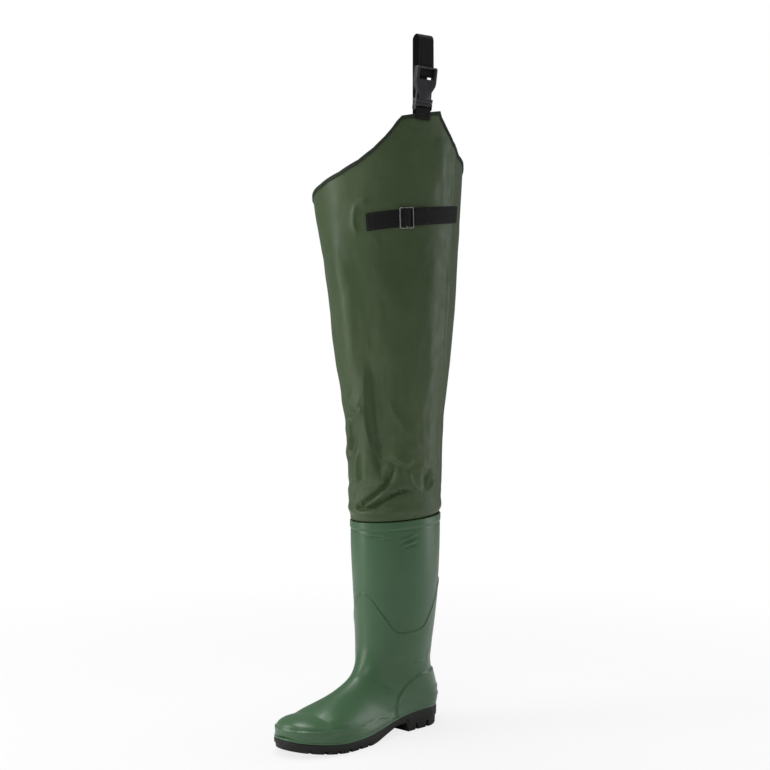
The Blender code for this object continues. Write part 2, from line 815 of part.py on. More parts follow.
def ribbon(name, edges, colour=(0.012, 0.012, 0.013)):
    """A flat strap between pairs of points on its two edges."""
    points = [point for pair in edges for point in pair]
    faces = [(2 * i, 2 * i + 1, 2 * i + 3, 2 * i + 2) for i in range(len(edges) - 1)]
    mesh = bpy.data.meshes.new(name)
    mesh.from_pydata(points, [], faces)
    strap = bpy.data.objects.new(name, mesh)
    thicken = strap.modifiers.new("thickness", "SOLIDIFY")
    thicken.thickness = WEBBING_THICKNESS
    thicken.offset = 0
    thicken.use_even_offset = True
    return add_piece(strap, colour, 0.85)


def webbing(name, path, across):
    """A strap whose middle line follows a path and whose width lies along one direction."""
    half = across * WEBBING_WIDTH / 2
    return ribbon(name, [(point - half, point + half) for point in path])


def tab_turns():
    """The two turns between which the hip tab is flat, for the belt webbing."""
    half = WEBBING_WIDTH / THIGH_WIDTH
    return BELT_TURN - half, BELT_TURN + half


def tab_frame(height):
    """A point on the flat of the hip tab, and the ways across and out of it."""
    back, front = (leg_point(turn, height) for turn in tab_turns())
    across = (back - front).normalized()
    out = across.cross(Vector((0, 0, 1))).normalized()
    return (back + front) / 2, across, -out if out.x < 0 else out


def half_turn(centre, radius, start, way_a, way_b, steps=6):
    """Points on half a circle from a start angle, between two directions."""
    turns = [start + pi * step / steps for step in range(steps + 1)]
    return [centre + (way_a * cos(turn) + way_b * sin(turn)) * radius for turn in turns]


def belt_height():
    return top_edge(BELT_TURN)


def buckle_frame():
    """Origin on the plug's bar, then the ways across, out of and up the buckle, which leans outwards."""
    middle, across, out = tab_frame(belt_height())
    origin = middle + out * TAB_BAR_OUT + Vector((0, 0, TAB_RISE))
    front_ply = BELT_PLY + BELT_LOOP_DEPTH
    lean = (front_ply - TAB_BAR_OUT) / SOCKET_END
    up = (Vector((0, 0, 1)) * (1 - lean * lean) ** 0.5 + out * lean).normalized()
    return origin, across, up.cross(across).normalized() * (1 if up.cross(across).dot(out) > 0 else -1), up


def buckle_point(across_by, out_by, up_by):
    origin, across, out, up = buckle_frame()
    return origin + across * across_by + out * out_by + up * up_by


def make_belt_strap():
    """The belt loop: webbing sewn inside the hip tab, over, and down to the buckle's socket."""
    edge = belt_height()
    middle, across, out = tab_frame(edge)
    up = Vector((0, 0, 1))

    def place(out_by, height):
        return middle + out * out_by + up * (height - edge)

    low = tab_frame(edge - BELT_LAP)[0]
    bend = tab_frame(edge - TAB_LAP - PLY)[0]
    radius = BELT_LOOP_DEPTH / 2
    loop_top = buckle_point(0, 0, SOCKET_END).z + BELT_LOOP_RISE
    top = place(BELT_PLY + radius, loop_top - WEBBING_THICKNESS / 2 - radius)
    path = [low - out * (LEG_WALL + STRAP_WALL + PLY / 2)]
    path += [bend + out * BELT_PLY, place(BELT_PLY, edge)]
    path += half_turn(top, radius, 0, -out, up, 8)
    path += [buckle_point(0, BELT_LEVEL, SOCKET_END + 0.001)]
    _, _, face, rise = buckle_frame()
    bar = buckle_point(0, BELT_LEVEL - BELT_BEND, STRAP_BAR_PLACE)
    path += half_turn(bar, BELT_BEND, 0, face, -rise)
    path += [buckle_point(0, BELT_LEVEL - 2 * BELT_BEND, STRAP_BAR_PLACE + 0.011)]
    webbing("belt_strap", path, across)


def make_plug_tab():
    """The short tab that straddles the leg's top edge and holds the plug by its bar."""
    edge = belt_height()
    middle, across, out = tab_frame(edge)
    up = Vector((0, 0, 1))
    bar = middle + out * TAB_BAR_OUT + up * TAB_RISE
    radius = (OUTER_PLY - INNER_PLY) / 2
    low = tab_frame(edge - TAB_LAP)[0]
    path = [low + out * OUTER_PLY, middle + out * OUTER_PLY]
    path += half_turn(bar, radius, 0, out, up)
    path += [middle + out * INNER_PLY, low + out * INNER_PLY]
    webbing("plug_tab", path, across)


def plate(name, outline, thickness, chamfer, mirror=True):
    """A flat moulding with chamfered faces: its outline is half widths and heights, up one side."""
    right = [(width, height) for width, height in outline]
    around = right + [(-width, height) for width, height in reversed(outline)] if mirror else right
    middle = sum(height for _, height in around) / len(around)
    rings = []
    for level, inset in ((-0.5, chamfer), (-0.5, 0), (0.5, 0), (0.5, chamfer)):
        lift = level * thickness
        if not inset:
            lift *= 1 - 2 * chamfer / thickness
        rings.append([
            buckle_point(
                width - inset * (1 if width > 0 else -1) if mirror else width,
                lift,
                height + inset * (1 if height < middle else -1),
            )
            for width, height in around
        ])
    return loft(name, rings)


def buckle_box(name, half_width, out_from, out_to, up_from, up_to):
    """A cutter through the buckle."""
    corners = ((-1, out_from), (1, out_from), (1, out_to), (-1, out_to))
    rings = [[buckle_point(side * half_width, out, up) for side, out in corners] for up in (up_from, up_to)]
    return add_cutter(loft(name, rings))


def make_socket():
    """The socket: strap bars at its top, and the hollow that takes the plug's prongs."""
    outline = [(row.width * SOCKET_WIDTH, SOCKET_START + row.height * SOCKET_LENGTH) for row in SOCKET]
    socket = plate("buckle_socket", outline, BUCKLE_THICKNESS, BUCKLE_CHAMFER)
    slot = WEBBING_WIDTH / 2 + SLOT_PLAY
    through = BUCKLE_THICKNESS
    prong_room = PRONG_THICKNESS / 2 + GAP
    prong_width = PLUG_WIDTH / 2 - 0.0017
    prong_end = SOCKET_START + PRONG_LENGTH + 0.0015
    window = buckle_box("belt_window", slot, -through, through, WINDOW_START, SOCKET_END - FRONT_BAR)
    boolean(socket, window, "DIFFERENCE")
    way = buckle_box("belt_way", slot, -through, FRONT_BAR_BACK, WINDOW_START, SOCKET_END + 0.002)
    boolean(socket, way, "DIFFERENCE")
    room = buckle_box("prong_room", prong_width, -prong_room, prong_room, SOCKET_START - 0.002, prong_end)
    boolean(socket, room, "DIFFERENCE")
    across = buckle_frame()[1]
    turned = Vector((0, 0, 1)).rotation_difference(across).to_matrix().to_4x4()
    centre = buckle_point(0, BELT_LEVEL - BELT_BEND, STRAP_BAR_PLACE)
    boolean(socket, rod("strap_bar", centre, turned, STRAP_BAR / 2, 2 * slot + 0.002), "UNION")
    add_piece(socket, (0.065, 0.065, 0.070), 0.42)


def rod(name, centre, turned, radius, length):
    shape = bmesh.new()
    bmesh.ops.create_cone(
        shape, cap_ends=True, segments=12, radius1=radius, radius2=radius, depth=length,
        matrix=Matrix.Translation(centre) @ turned,
    )
    mesh = bpy.data.meshes.new(name)
    shape.to_mesh(mesh)
    shape.free()
    return add_cutter(bpy.data.objects.new(name, mesh))


def make_plug():
    """The plug: a frame with the tab's bar, and two prongs that catch in the socket."""
    half = PLUG_WIDTH / 2
    low = -TAB_BAR / 2
    high = low + PLUG_LENGTH
    outline = [(half - 0.001, low), (half, low + 0.002), (half, high - 0.001), (half - 0.0005, high)]
    plug = plate("buckle_plug", outline, PLUG_THICKNESS, PLUG_CHAMFER)
    slot = WEBBING_WIDTH / 2 + SLOT_PLAY
    slot_end = (OUTER_PLY - INNER_PLY) / 2 + STRAP_WALL
    through = BUCKLE_THICKNESS
    boolean(plug, buckle_box("tab_slot", slot, -through, through, low - 0.002, slot_end), "DIFFERENCE")
    across = buckle_frame()[1]
    turned = Vector((0, 0, 1)).rotation_difference(across).to_matrix().to_4x4()
    boolean(plug, rod("tab_bar", buckle_point(0, 0, 0), turned, TAB_BAR / 2, 2 * slot + 0.001), "UNION")
    inner = half - 0.0048
    outer = half - 0.0022
    tip = high + PRONG_LENGTH
    for side in (-1, 1):
        outline = [
            (side * inner, high - 0.001),
            (side * outer, high - 0.001),
            (side * (outer + 0.0003), high + 0.008),
            (side * outer, high + 0.018),
            (side * (inner + 0.0012), tip),
            (side * (inner - 0.0002), tip),
            (side * (inner - 0.0004), high + 0.018),
            (side * inner, high + 0.008),
        ]
        name = "back_prong" if side < 0 else "front_prong"
        prong = plate(name, outline, PRONG_THICKNESS, PRONG_CHAMFER, mirror=False)
        boolean(plug, add_cutter(prong), "UNION")
    add_piece(plug, (0.050, 0.050, 0.054), 0.45)


def strap_height(turn):
    share = (STRAP_FRONT_TURN - turn) / (STRAP_FRONT_TURN - STRAP_BACK_TURN)
    return STRAP_FRONT_HEIGHT + (STRAP_BACK_HEIGHT - STRAP_FRONT_HEIGHT) * share


def strap_edges(turn, out):
    """The two edges of the thigh strap at a turn, its middle line this far out of the leg."""
    height = strap_height(turn)
    half = WEBBING_WIDTH / 2
    return leg_point(turn, height - half, out), leg_point(turn, height + half, out)


def slider_frame():
    """Middle of the slider on the leg's face, the ways forward and up along it, and out of it."""
    height = strap_height(SLIDER_TURN)
    middle = leg_point(SLIDER_TURN, height)
    up = (leg_point(SLIDER_TURN, height + 0.01) - leg_point(SLIDER_TURN, height - 0.01)).normalized()
    forward = leg_point(SLIDER_TURN + 0.05, height) - leg_point(SLIDER_TURN - 0.05, height)
    per_turn = forward.length / 0.1
    forward = (forward - up * forward.dot(up)).normalized()
    out = forward.cross(up).normalized()
    return middle, forward, up, out if out.x > 0 else -out, per_turn


def make_thigh_strap():
    """The strap round the thigh, threaded under, over and under the slider's bars."""
    per_turn = slider_frame()[4]
    spacing = (SLIDER_LENGTH - SLIDER_WIRE) / 2
    lift = slider_out() + SLIDER_WIRE / 2
    threaded = [
        (SLIDER_TURN + row.forward * spacing / per_turn, STRAP_WALL + row.lift * lift) for row in THREAD
    ]
    front_steps = 9
    back_steps = 12
    front_run = threaded[0][0] - STRAP_FRONT_TURN
    back_run = STRAP_BACK_TURN - threaded[-1][0]
    stations = [
        (STRAP_FRONT_TURN + front_run * step / front_steps, STRAP_WALL) for step in range(front_steps)
    ]
    stations += threaded
    stations += [
        (threaded[-1][0] + back_run * step / back_steps, STRAP_WALL) for step in range(1, back_steps + 1)
    ]
    ribbon("thigh_strap", [strap_edges(turn, out) for turn, out in stations])
    start = SLIDER_TURN - (SLIDER_LENGTH / 2 + PLY) / per_turn
    tail = [start + (TAIL_TURN - start) * step / 4 for step in range(5)]
    ribbon("thigh_strap_tail", [strap_edges(turn, STRAP_WALL + PLY) for turn in tail])


def slider_out():
    """How far the slider's wire stands from the leg, over the strap."""
    return WEBBING_THICKNESS + 2 * GAP + SLIDER_WIRE / 2


def make_slider():
    """The slider: a metal wire frame with a bar across its middle."""
    middle, forward, up, out, _ = slider_frame()
    centre = middle + out * slider_out()
    half_length = (SLIDER_LENGTH - SLIDER_WIRE) / 2
    half_height = WEBBING_WIDTH / 2 + 2 * SLOT_PLAY + SLIDER_WIRE / 2
    corner = SLIDER_WIRE
    curve = bpy.data.curves.new("slider_wire", "CURVE")
    curve.dimensions = "3D"
    curve.bevel_depth = SLIDER_WIRE / 2
    curve.bevel_resolution = 2
    places = []
    for quarter, (side, end) in enumerate(((1, 1), (-1, 1), (-1, -1), (1, -1))):
        for part in (0, 45, 90):
            turn = radians(90 * quarter + part)
            place = centre + forward * (side * (half_length - corner) + corner * cos(turn))
            places.append(place + up * (end * (half_height - corner) + corner * sin(turn)))
    spline = curve.splines.new("POLY")
    spline.points.add(len(places) - 1)
    for point, place in zip(spline.points, places):
        point.co = (*place, 1)
    spline.use_cyclic_u = True
    wire = bpy.data.objects.new("slider_wire", curve)
    bpy.data.collections[COLLECTION].objects.link(wire)
    shape = bpy.data.meshes.new_from_object(wire.evaluated_get(bpy.context.evaluated_depsgraph_get()))
    bpy.data.objects.remove(wire)
    slider = bpy.data.objects.new("strap_slider", shape)
    turned = Vector((0, 0, 1)).rotation_difference(up).to_matrix().to_4x4()
    bar = rod("slider_bar", centre, turned, SLIDER_WIRE / 2 * 0.98, 2 * half_height)
    boolean(slider, bar, "UNION")
    add_piece(slider, (0.55, 0.56, 0.58), 0.3, 1.0)


def clear_scene():
    for item in list(bpy.data.objects):
        bpy.data.objects.remove(item, do_unlink=True)
    for name in (COLLECTION, "cutters"):
        bpy.context.scene.collection.children.link(bpy.data.collections.new(name))


def main():
    clear_scene()
    make_outsole()
    make_welt()
    make_boot()
    make_insole()
    make_leg()
    make_top_binding()
    make_belt_strap()
    make_plug_tab()
    make_socket()
    make_plug()
    make_thigh_strap()
    make_slider()


main()
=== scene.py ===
"""The looks of a hip wader: a moulded green boot, a coated cloth leg, webbing and its fastenings.

Metres, +Z up. The toe points to -Y and the outer side of the leg faces +X. "Along" runs forward
from the back of the sole, and "turn" goes round the leg: 0 is the outer side, 90 degrees the front.
"""

from collections import namedtuple
from math import degrees, pi, radians

import bmesh
import bpy
import numpy as np
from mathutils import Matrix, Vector, noise


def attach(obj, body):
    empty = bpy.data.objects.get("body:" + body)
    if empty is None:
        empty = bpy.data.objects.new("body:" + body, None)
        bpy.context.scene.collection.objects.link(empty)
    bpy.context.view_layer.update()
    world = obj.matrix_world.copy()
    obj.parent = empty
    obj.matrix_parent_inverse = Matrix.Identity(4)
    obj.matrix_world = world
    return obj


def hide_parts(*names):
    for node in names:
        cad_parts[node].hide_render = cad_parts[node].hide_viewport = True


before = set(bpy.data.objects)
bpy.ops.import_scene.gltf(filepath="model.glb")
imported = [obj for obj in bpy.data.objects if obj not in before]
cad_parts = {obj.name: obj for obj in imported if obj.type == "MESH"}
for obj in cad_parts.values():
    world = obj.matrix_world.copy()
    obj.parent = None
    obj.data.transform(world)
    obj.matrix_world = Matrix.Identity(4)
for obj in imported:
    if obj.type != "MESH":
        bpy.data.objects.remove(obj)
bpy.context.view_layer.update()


# The studio: a pale floor that fades into a white room, a soft box on each side of the wader, one over
# it and a weak one high above the camera, which stands level with the knee.
CAMERA_PLACE = (1.3651, -1.4868, 0.530)
CAMERA_TURN = 43.5
CAMERA_TILT = 89.64
CAMERA_LENS = 61.67
SENSOR_WIDTH = 36
FLOOR_RADIUS = 30
FLOOR_GLOW = 0.80
FADE_START = 0.35
FADE_END = 1.5
ROOM_LIGHT = 0.25


def start_material(name):
    material = bpy.data.materials.new(name)
    material.use_nodes = True
    return material, material.node_tree, material.node_tree.nodes["Principled BSDF"]


def add_node(tree, kind, inputs=None, **settings):
    """A shader node with its settings made, and its inputs set or linked."""
    node = tree.nodes.new("ShaderNode" + kind)
    for setting, value in settings.items():
        setattr(node, setting, value)
    for socket, value in (inputs or {}).items():
        if isinstance(value, bpy.types.NodeSocket):
            tree.links.new(value, node.inputs[socket])
        else:
            node.inputs[socket].default_value = value
    return node


def set_inputs(node, values):
    for socket, value in values.items():
        node.inputs[socket].default_value = value


camera_data = bpy.data.cameras.new("camera")
camera_data.lens = CAMERA_LENS
camera_data.sensor_width = SENSOR_WIDTH
camera = bpy.data.objects.new("camera", camera_data)
camera.location = CAMERA_PLACE
camera.rotation_euler = (radians(CAMERA_TILT), 0, radians(CAMERA_TURN))
bpy.context.scene.collection.objects.link(camera)
bpy.context.scene.camera = camera

floor_shape = bmesh.new()
bmesh.ops.create_circle(floor_shape, cap_ends=True, segments=96, radius=FLOOR_RADIUS)
floor_mesh = bpy.data.meshes.new("floor")
floor_shape.to_mesh(floor_mesh)
floor_shape.free()
floor = bpy.data.objects.new("floor", floor_mesh)
bpy.context.scene.collection.objects.link(floor)
floor_paint, tree, shader = start_material("floor_paint")
set_inputs(shader, {"Base Color": (0.80, 0.80, 0.80, 1), "Roughness": 0.9, "Specular IOR Level": 0.1})
floor_place = add_node(tree, "TexCoord").outputs["Object"]
floor_reach = add_node(tree, "VectorMath", {0: floor_place}, operation="LENGTH").outputs["Value"]
floor_fade = add_node(tree, "MapRange", {
    "Value": floor_reach, "From Min": FADE_START, "From Max": FADE_END, "To Min": FLOOR_GLOW, "To Max": 1.0,
}, interpolation_type="SMOOTHSTEP")
seen = add_node(tree, "LightPath").outputs["Is Camera Ray"]
glow_share = add_node(tree, "Math", {0: floor_fade.outputs["Result"], 1: seen}, operation="MULTIPLY")
glow = add_node(tree, "Emission", {"Color": (1, 1, 1, 1), "Strength": 1.0})
floor_mix = add_node(tree, "MixShader", {
    "Fac": glow_share.outputs["Value"], 1: shader.outputs["BSDF"], 2: glow.outputs["Emission"],
})
tree.links.new(floor_mix.outputs["Shader"], tree.nodes["Material Output"].inputs["Surface"])
floor.data.materials.append(floor_paint)

room = bpy.data.worlds.new("room")
bpy.context.scene.world = room
room.use_nodes = True
tree = room.node_tree
room_light = tree.nodes["Background"]
set_inputs(room_light, {"Color": (0.97, 0.98, 1, 1), "Strength": ROOM_LIGHT})
white_room = add_node(tree, "Background", {"Color": (1, 1, 1, 1), "Strength": 1.0})
seen = add_node(tree, "LightPath").outputs["Is Camera Ray"]
room_mix = add_node(tree, "MixShader", {
    "Fac": seen, 1: room_light.outputs["Background"], 2: white_room.outputs["Background"],
})
tree.links.new(room_mix.outputs["Shader"], tree.nodes["World Output"].inputs["Surface"])

LightRow = namedtuple("LightRow", "name place aim width height power")
for light in (
    LightRow("left_box", (-1.10, -1.66, 1.10), (0, -0.05, 0.50), 0.8, 2.2, 24),
    LightRow("right_box", (1.05, 1.75, 0.60), (0, -0.05, 0.35), 0.8, 1.6, 9),
    LightRow("top_box", (-0.15, -0.05, 2.60), (0, -0.05, 0.30), 1.1, 1.1, 40),
    LightRow("front_box", (1.10, -2.10, 1.90), (0, -0.05, 0.80), 1.2, 0.8, 9),
):
    lamp = bpy.data.lights.new(light.name, "AREA")
    lamp.shape = "RECTANGLE"
    lamp.size = light.width
    lamp.size_y = light.height
    lamp.energy = light.power
    holder = bpy.data.objects.new(light.name, lamp)
    holder.location = light.place
    holder.rotation_euler = (Vector(light.aim) - Vector(light.place)).to_track_quat("-Z", "Y").to_euler()
    bpy.context.scene.collection.objects.link(holder)
bpy.context.scene.view_settings.view_transform = "Standard"


# The outsole: near black rubber moulded in one piece, with a heel, an arch, toe spring and lugs cut
# through its edge by the tread's grooves.
SOLE_LENGTH = 0.304
BALL_WIDTH = 0.106
HEEL_HEIGHT = 0.028
FOREFOOT_HEIGHT = 0.0135
TOE_SPRING = 0.010
HEEL_TO_ORIGIN = 0.049
GAP = 0.0003
GROOVE_DEPTH = 0.0045
GROOVE_WIDTH = 0.006
HEEL_GROOVE_DEPTH = 0.010
FOREFOOT_GROOVES = (0.60, 0.665, 0.73, 0.795, 0.86, 0.925)
HEEL_GROOVES = (0.07, 0.145, 0.22)
HEEL_ROUND = 0.135
OUTER_TOE_ROUND = 0.72
INNER_TOE_ROUND = 0.78
TOE_POWER = 2.25
TOE_RISE_START = 0.72
TOE_RISE_POWER = 1.8
HEEL_SLOPE_END = 0.683
HEEL_SLOPE = 0.516
SOLE_END = 0.0008
GROOVE_NARROWING = 0.65
BAR_FOOT = 0.004
LOBE_ROUND = 0.0030

# Half widths of the sole along its length, over BALL_WIDTH
OutlineRow = namedtuple("OutlineRow", "along outer inner")
OUTLINE = [OutlineRow(*row) for row in (
    (0.00, 0.372, 0.364),
    (0.13, 0.373, 0.364),
    (0.25, 0.368, 0.344),
    (0.37, 0.387, 0.315),
    (0.47, 0.432, 0.345),
    (0.58, 0.486, 0.412),
    (0.69, 0.507, 0.470),
    (0.78, 0.500, 0.493),
    (0.88, 0.470, 0.484),
    (1.00, 0.440, 0.470),
)]

# Underside of the sole, height over HEEL_HEIGHT
UNDERSIDE = (
    (0.000, 0.10),
    (0.025, 0.00),
    (0.275, 0.00),
    (0.292, 0.52),
    (0.360, 0.50),
    (0.450, 0.27),
    (0.520, 0.08),
    (0.570, 0.00),
    (1.000, 0.00),
)

# Side of the sole from the floor up: height over its thickness there, inset in metres
SOLE_SIDE = (
    (0.00, 0.0024),
    (0.04, 0.0019),
    (0.46, 0.0014),
    (0.50, 0.0004),
    (0.54, 0.0002),
    (0.92, 0.0000),
    (0.97, 0.0003),
    (1.00, 0.0008),
)


def hermite(start, end, start_slope, end_slope, part):
    square = part * part
    cube = square * part
    value = (2 * cube - 3 * square + 1) * start + (3 * square - 2 * cube) * end
    return value + (cube - 2 * square + part) * start_slope + (cube - square) * end_slope


def read_smooth(rows, place):
    """A row of a table at a place in its first column, on a smooth curve through its rows."""
    last = len(rows) - 1
    low = max([index for index in range(last) if rows[index][0] <= place], default=0)
    before, start, end, after = (rows[min(max(low + step, 0), last)] for step in (-1, 0, 1, 2))
    span = end[0] - start[0]
    part = min(max((place - start[0]) / span, 0), 1)
    in_scale = span / (end[0] - before[0])
    out_scale = span / (after[0] - start[0])
    return type(start)(*(
        hermite(b, c, (c - a) * in_scale, (d - b) * out_scale, part)
        for a, b, c, d in zip(before, start, end, after)
    ))


def smooth(part):
    """A soft step from 0, below 0, to 1, above 1."""
    part = np.clip(part, 0, 1)
    return part * part * (3 - 2 * part)


def toe_rise(share):
    return np.clip((share - TOE_RISE_START) / (1 - TOE_RISE_START), 0, None) ** TOE_RISE_POWER


def sole_top(along):
    share = along / SOLE_LENGTH
    drop = (HEEL_HEIGHT - FOREFOOT_HEIGHT) * smooth((HEEL_SLOPE_END - share) / HEEL_SLOPE)
    return FOREFOOT_HEIGHT + drop + TOE_SPRING * toe_rise(share)


def sole_bottom(along):
    share = along / SOLE_LENGTH
    low = np.interp(share, [row[0] for row in UNDERSIDE], [row[1] for row in UNDERSIDE])
    return HEEL_HEIGHT * low + TOE_SPRING * toe_rise(share)


def rounding(share, outer):
    """How much of the half width is left at the sole's round ends."""
    if share < HEEL_ROUND:
        return (1 - (1 - share / HEEL_ROUND) ** 2) ** 0.5
    start = OUTER_TOE_ROUND if outer else INNER_TOE_ROUND
    if share > start:
        return max(0, 1 - ((share - start) / (1 - start)) ** TOE_POWER) ** (1 / TOE_POWER)
    return 1


def half_width(share, outer):
    row = read_smooth(OUTLINE, share)
    return BALL_WIDTH * (row.outer if outer else row.inner) * rounding(share, outer)


def edge_shares():
    """Shares of the length where the edge of the sole gets a point, closest at its round ends."""
    heel = HEEL_ROUND * (1 - np.cos(np.radians(np.linspace(5, 90, 16))))
    middle = np.linspace(HEEL_ROUND, OUTER_TOE_ROUND, 60)[1:-1]
    toe = 1 - (1 - OUTER_TOE_ROUND) * (1 - np.sin(np.radians(np.linspace(0, 88, 36))))
    heel_corners = [row[0] for row in UNDERSIDE[1:4]]
    return np.unique(np.concatenate([heel, middle, heel_corners, toe]))


def rings_mesh(name, rings, wrap=False):
    """A mesh from rings of points, with UVs in metres: along the rings' row, then round them.

    The row of rings closes on itself with wrap, and otherwise its two ends are capped.
    """
    rings = np.asarray(rings, float)
    rows, count = rings.shape[:2]
    steps = np.linalg.norm(np.diff(np.concatenate([rings, rings[:, :1]], 1), axis=1), axis=2).mean(0)
    around = np.concatenate([[0], np.cumsum(steps)])
    lengths = np.concatenate([[0], np.cumsum(np.linalg.norm(np.diff(rings.mean(1), axis=0), axis=1))])
    faces = []
    spots = []
    for row in range(rows if wrap else rows - 1):
        here = row * count
        there = (row + 1) % rows * count
        ahead = lengths[row + 1] if row + 1 < rows else lengths[-1] + (lengths[1] - lengths[0])
        for column in range(count):
            beside = (column + 1) % count
            faces.append((here + column, here + beside, there + beside, there + column))
            spots += [
                (lengths[row], around[column]),
                (lengths[row], around[column + 1]),
                (ahead, around[column + 1]),
                (ahead, around[column]),
            ]
    points = rings.reshape(-1, 3).tolist()
    if not wrap:
        for first in (0, (rows - 1) * count):
            middle = len(points)
            points.append(np.mean(points[first:first + count], axis=0).tolist())
            for column in range(count):
                faces.append((first + column, first + (column + 1) % count, middle))
                spots += [(0, 0)] * 3
    mesh = bpy.data.meshes.new(name)
    mesh.from_pydata(points, [], faces)
    mesh.uv_layers.new(name="UVMap").data.foreach_set("uv", np.array(spots).ravel())
    shape = bmesh.new()
    shape.from_mesh(mesh)
    bmesh.ops.recalc_face_normals(shape, faces=shape.faces)
    shape.to_mesh(mesh)
    shape.free()
    return mesh


def add_piece(name, mesh, material, node, sharp=40):
    """Shows a mesh in place of a solid, smooth but for its sharp edges."""
    mesh.materials.clear()
    mesh.materials.append(material)
    mesh.shade_smooth()
    mesh.set_sharp_from_angle(angle=radians(sharp))
    piece = bpy.data.objects.new(name, mesh)
    bpy.context.scene.collection.objects.link(piece)
    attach(piece, "root")
    if node:
        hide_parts(node)


def sole_edge_ring(share, profile, bottom, top):
    """One section across a piece that follows the sole: up its outer side and down its inner one."""
    ring = []
    for outer in (True, False):
        for height, inset in profile if outer else reversed(profile):
            width = max(half_width(share, outer) - inset, SOLE_END)
            along = share * SOLE_LENGTH + inset * (1 - 2 * share)
            low = bottom(share * SOLE_LENGTH)
            high = top(share * SOLE_LENGTH)
            ring.append((width if outer else -width, HEEL_TO_ORIGIN - along, low + (high - low) * height))
    return ring


def bars_mesh(name, grooves, depth):
    """Bars across the sole that narrow upwards, one for each groove."""
    shape = bmesh.new()
    for share in grooves:
        along = share * SOLE_LENGTH
        floor_height = float(TOE_SPRING * toe_rise(share))
        bar = bmesh.ops.create_cube(shape, size=1)["verts"]
        for vert in bar:
            raised = vert.co.z > 0
            width = GROOVE_WIDTH * (GROOVE_NARROWING if raised else 1)
            vert.co.x *= BALL_WIDTH * 1.3
            vert.co.y = HEEL_TO_ORIGIN - along + vert.co.y * width
            vert.co.z = floor_height + (depth if raised else -BAR_FOOT)
    mesh = bpy.data.meshes.new(name)
    shape.to_mesh(mesh)
    shape.free()
    return mesh


def cut(piece, mesh):
    """Cuts a shape out of a piece for good."""
    cutter = bpy.data.objects.new(mesh.name, mesh)
    bpy.context.scene.collection.objects.link(cutter)
    modifier = piece.modifiers.new("cut", "BOOLEAN")
    modifier.operation = "DIFFERENCE"
    modifier.object = cutter
    modifier.solver = "EXACT"
    made = bpy.data.meshes.new_from_object(piece.evaluated_get(bpy.context.evaluated_depsgraph_get()))
    piece.modifiers.remove(modifier)
    piece.data = made
    bpy.data.objects.remove(cutter)


def noise_value(tree, scale, detail=2.0, roughness=0.5):
    """Noise over the piece's own place."""
    place = add_node(tree, "TexCoord").outputs["Object"]
    return add_node(tree, "TexNoise", {
        "Vector": place, "Scale": scale, "Detail": detail, "Roughness": roughness,
    }).outputs["Fac"]


def colour_by(tree, shader, value, steps):
    """Colours the surface by a ramp of colours at positions along a value."""
    ramp = add_node(tree, "ValToRGB", {"Fac": value})
    for element, (position, colour) in zip(ramp.color_ramp.elements, (steps[0], steps[-1])):
        element.position = position
        element.color = (*colour, 1)
    for position, colour in steps[1:-1]:
        ramp.color_ramp.elements.new(position).color = (*colour, 1)
    tree.links.new(ramp.outputs["Color"], shader.inputs["Base Color"])


def roughness_by(tree, shader, value, low, high, start=0.0, end=1.0):
    """Makes the surface duller, from low to high, as a value goes from its start to its end."""
    span = add_node(tree, "MapRange", {
        "Value": value, "From Min": start, "From Max": end, "To Min": low, "To Max": high,
    })
    tree.links.new(span.outputs["Result"], shader.inputs["Roughness"])


def relief_by(tree, shader, *layers, invert=False):
    """Bumps in layers, from the broadest to the finest, each a height, a strength and a distance."""
    below = {}
    for height, strength, distance in layers:
        inputs = {"Height": height, "Strength": strength, "Distance": distance, **below}
        below = {"Normal": add_node(tree, "Bump", inputs, invert=invert).outputs["Normal"]}
    tree.links.new(below["Normal"], shader.inputs["Normal"])


rubber, tree, shader = start_material("sole_rubber")
blotch = noise_value(tree, 24.0, 5.0)
grain = noise_value(tree, 900.0, 3.0)
colour_by(tree, shader, blotch, ((0.3, (0.009, 0.009, 0.008)), (0.7, (0.019, 0.018, 0.016))))
roughness_by(tree, shader, blotch, 0.5, 0.72)
relief_by(tree, shader, (grain, 0.25, 0.0002))
set_inputs(shader, {"Specular IOR Level": 0.35})

sole_rings = [sole_edge_ring(share, SOLE_SIDE, sole_bottom, sole_top) for share in edge_shares()]
sole = bpy.data.objects.new("sole", rings_mesh("sole", sole_rings))
bpy.context.scene.collection.objects.link(sole)
cut(sole, bars_mesh("forefoot_grooves", FOREFOOT_GROOVES, GROOVE_DEPTH))
cut(sole, bars_mesh("heel_grooves", HEEL_GROOVES, HEEL_GROOVE_DEPTH))
lobes = sole.modifiers.new("lobes", "BEVEL")
lobes.width = LOBE_ROUND
lobes.segments = 3
lobes.limit_method = "ANGLE"
lobes.angle_limit = radians(50)
sole_mesh = bpy.data.meshes.new_from_object(sole.evaluated_get(bpy.context.evaluated_depsgraph_get()))
bpy.data.objects.remove(sole)
add_piece("outsole_rubber", sole_mesh, rubber, "outsole", sharp=30)


# The welt: a thin rounded ridge of the boot's own green PVC, which covers the joint of the upper and
# the sole all the way round.
WELT_HEIGHT = 0.0035
WELT_STEP = 0.0008

# Section of the welt: rise and inset from the sole's upper edge, over WELT_HEIGHT
WELT_PROFILE = (
    (0.00, 0.20),
    (0.25, 0.10),
    (0.55, 0.08),
    (0.80, 0.17),
    (0.95, 0.36),
    (1.00, 0.62),
    (0.96, 1.40),
    (0.92, 2.80),
    (0.00, 2.80),
)

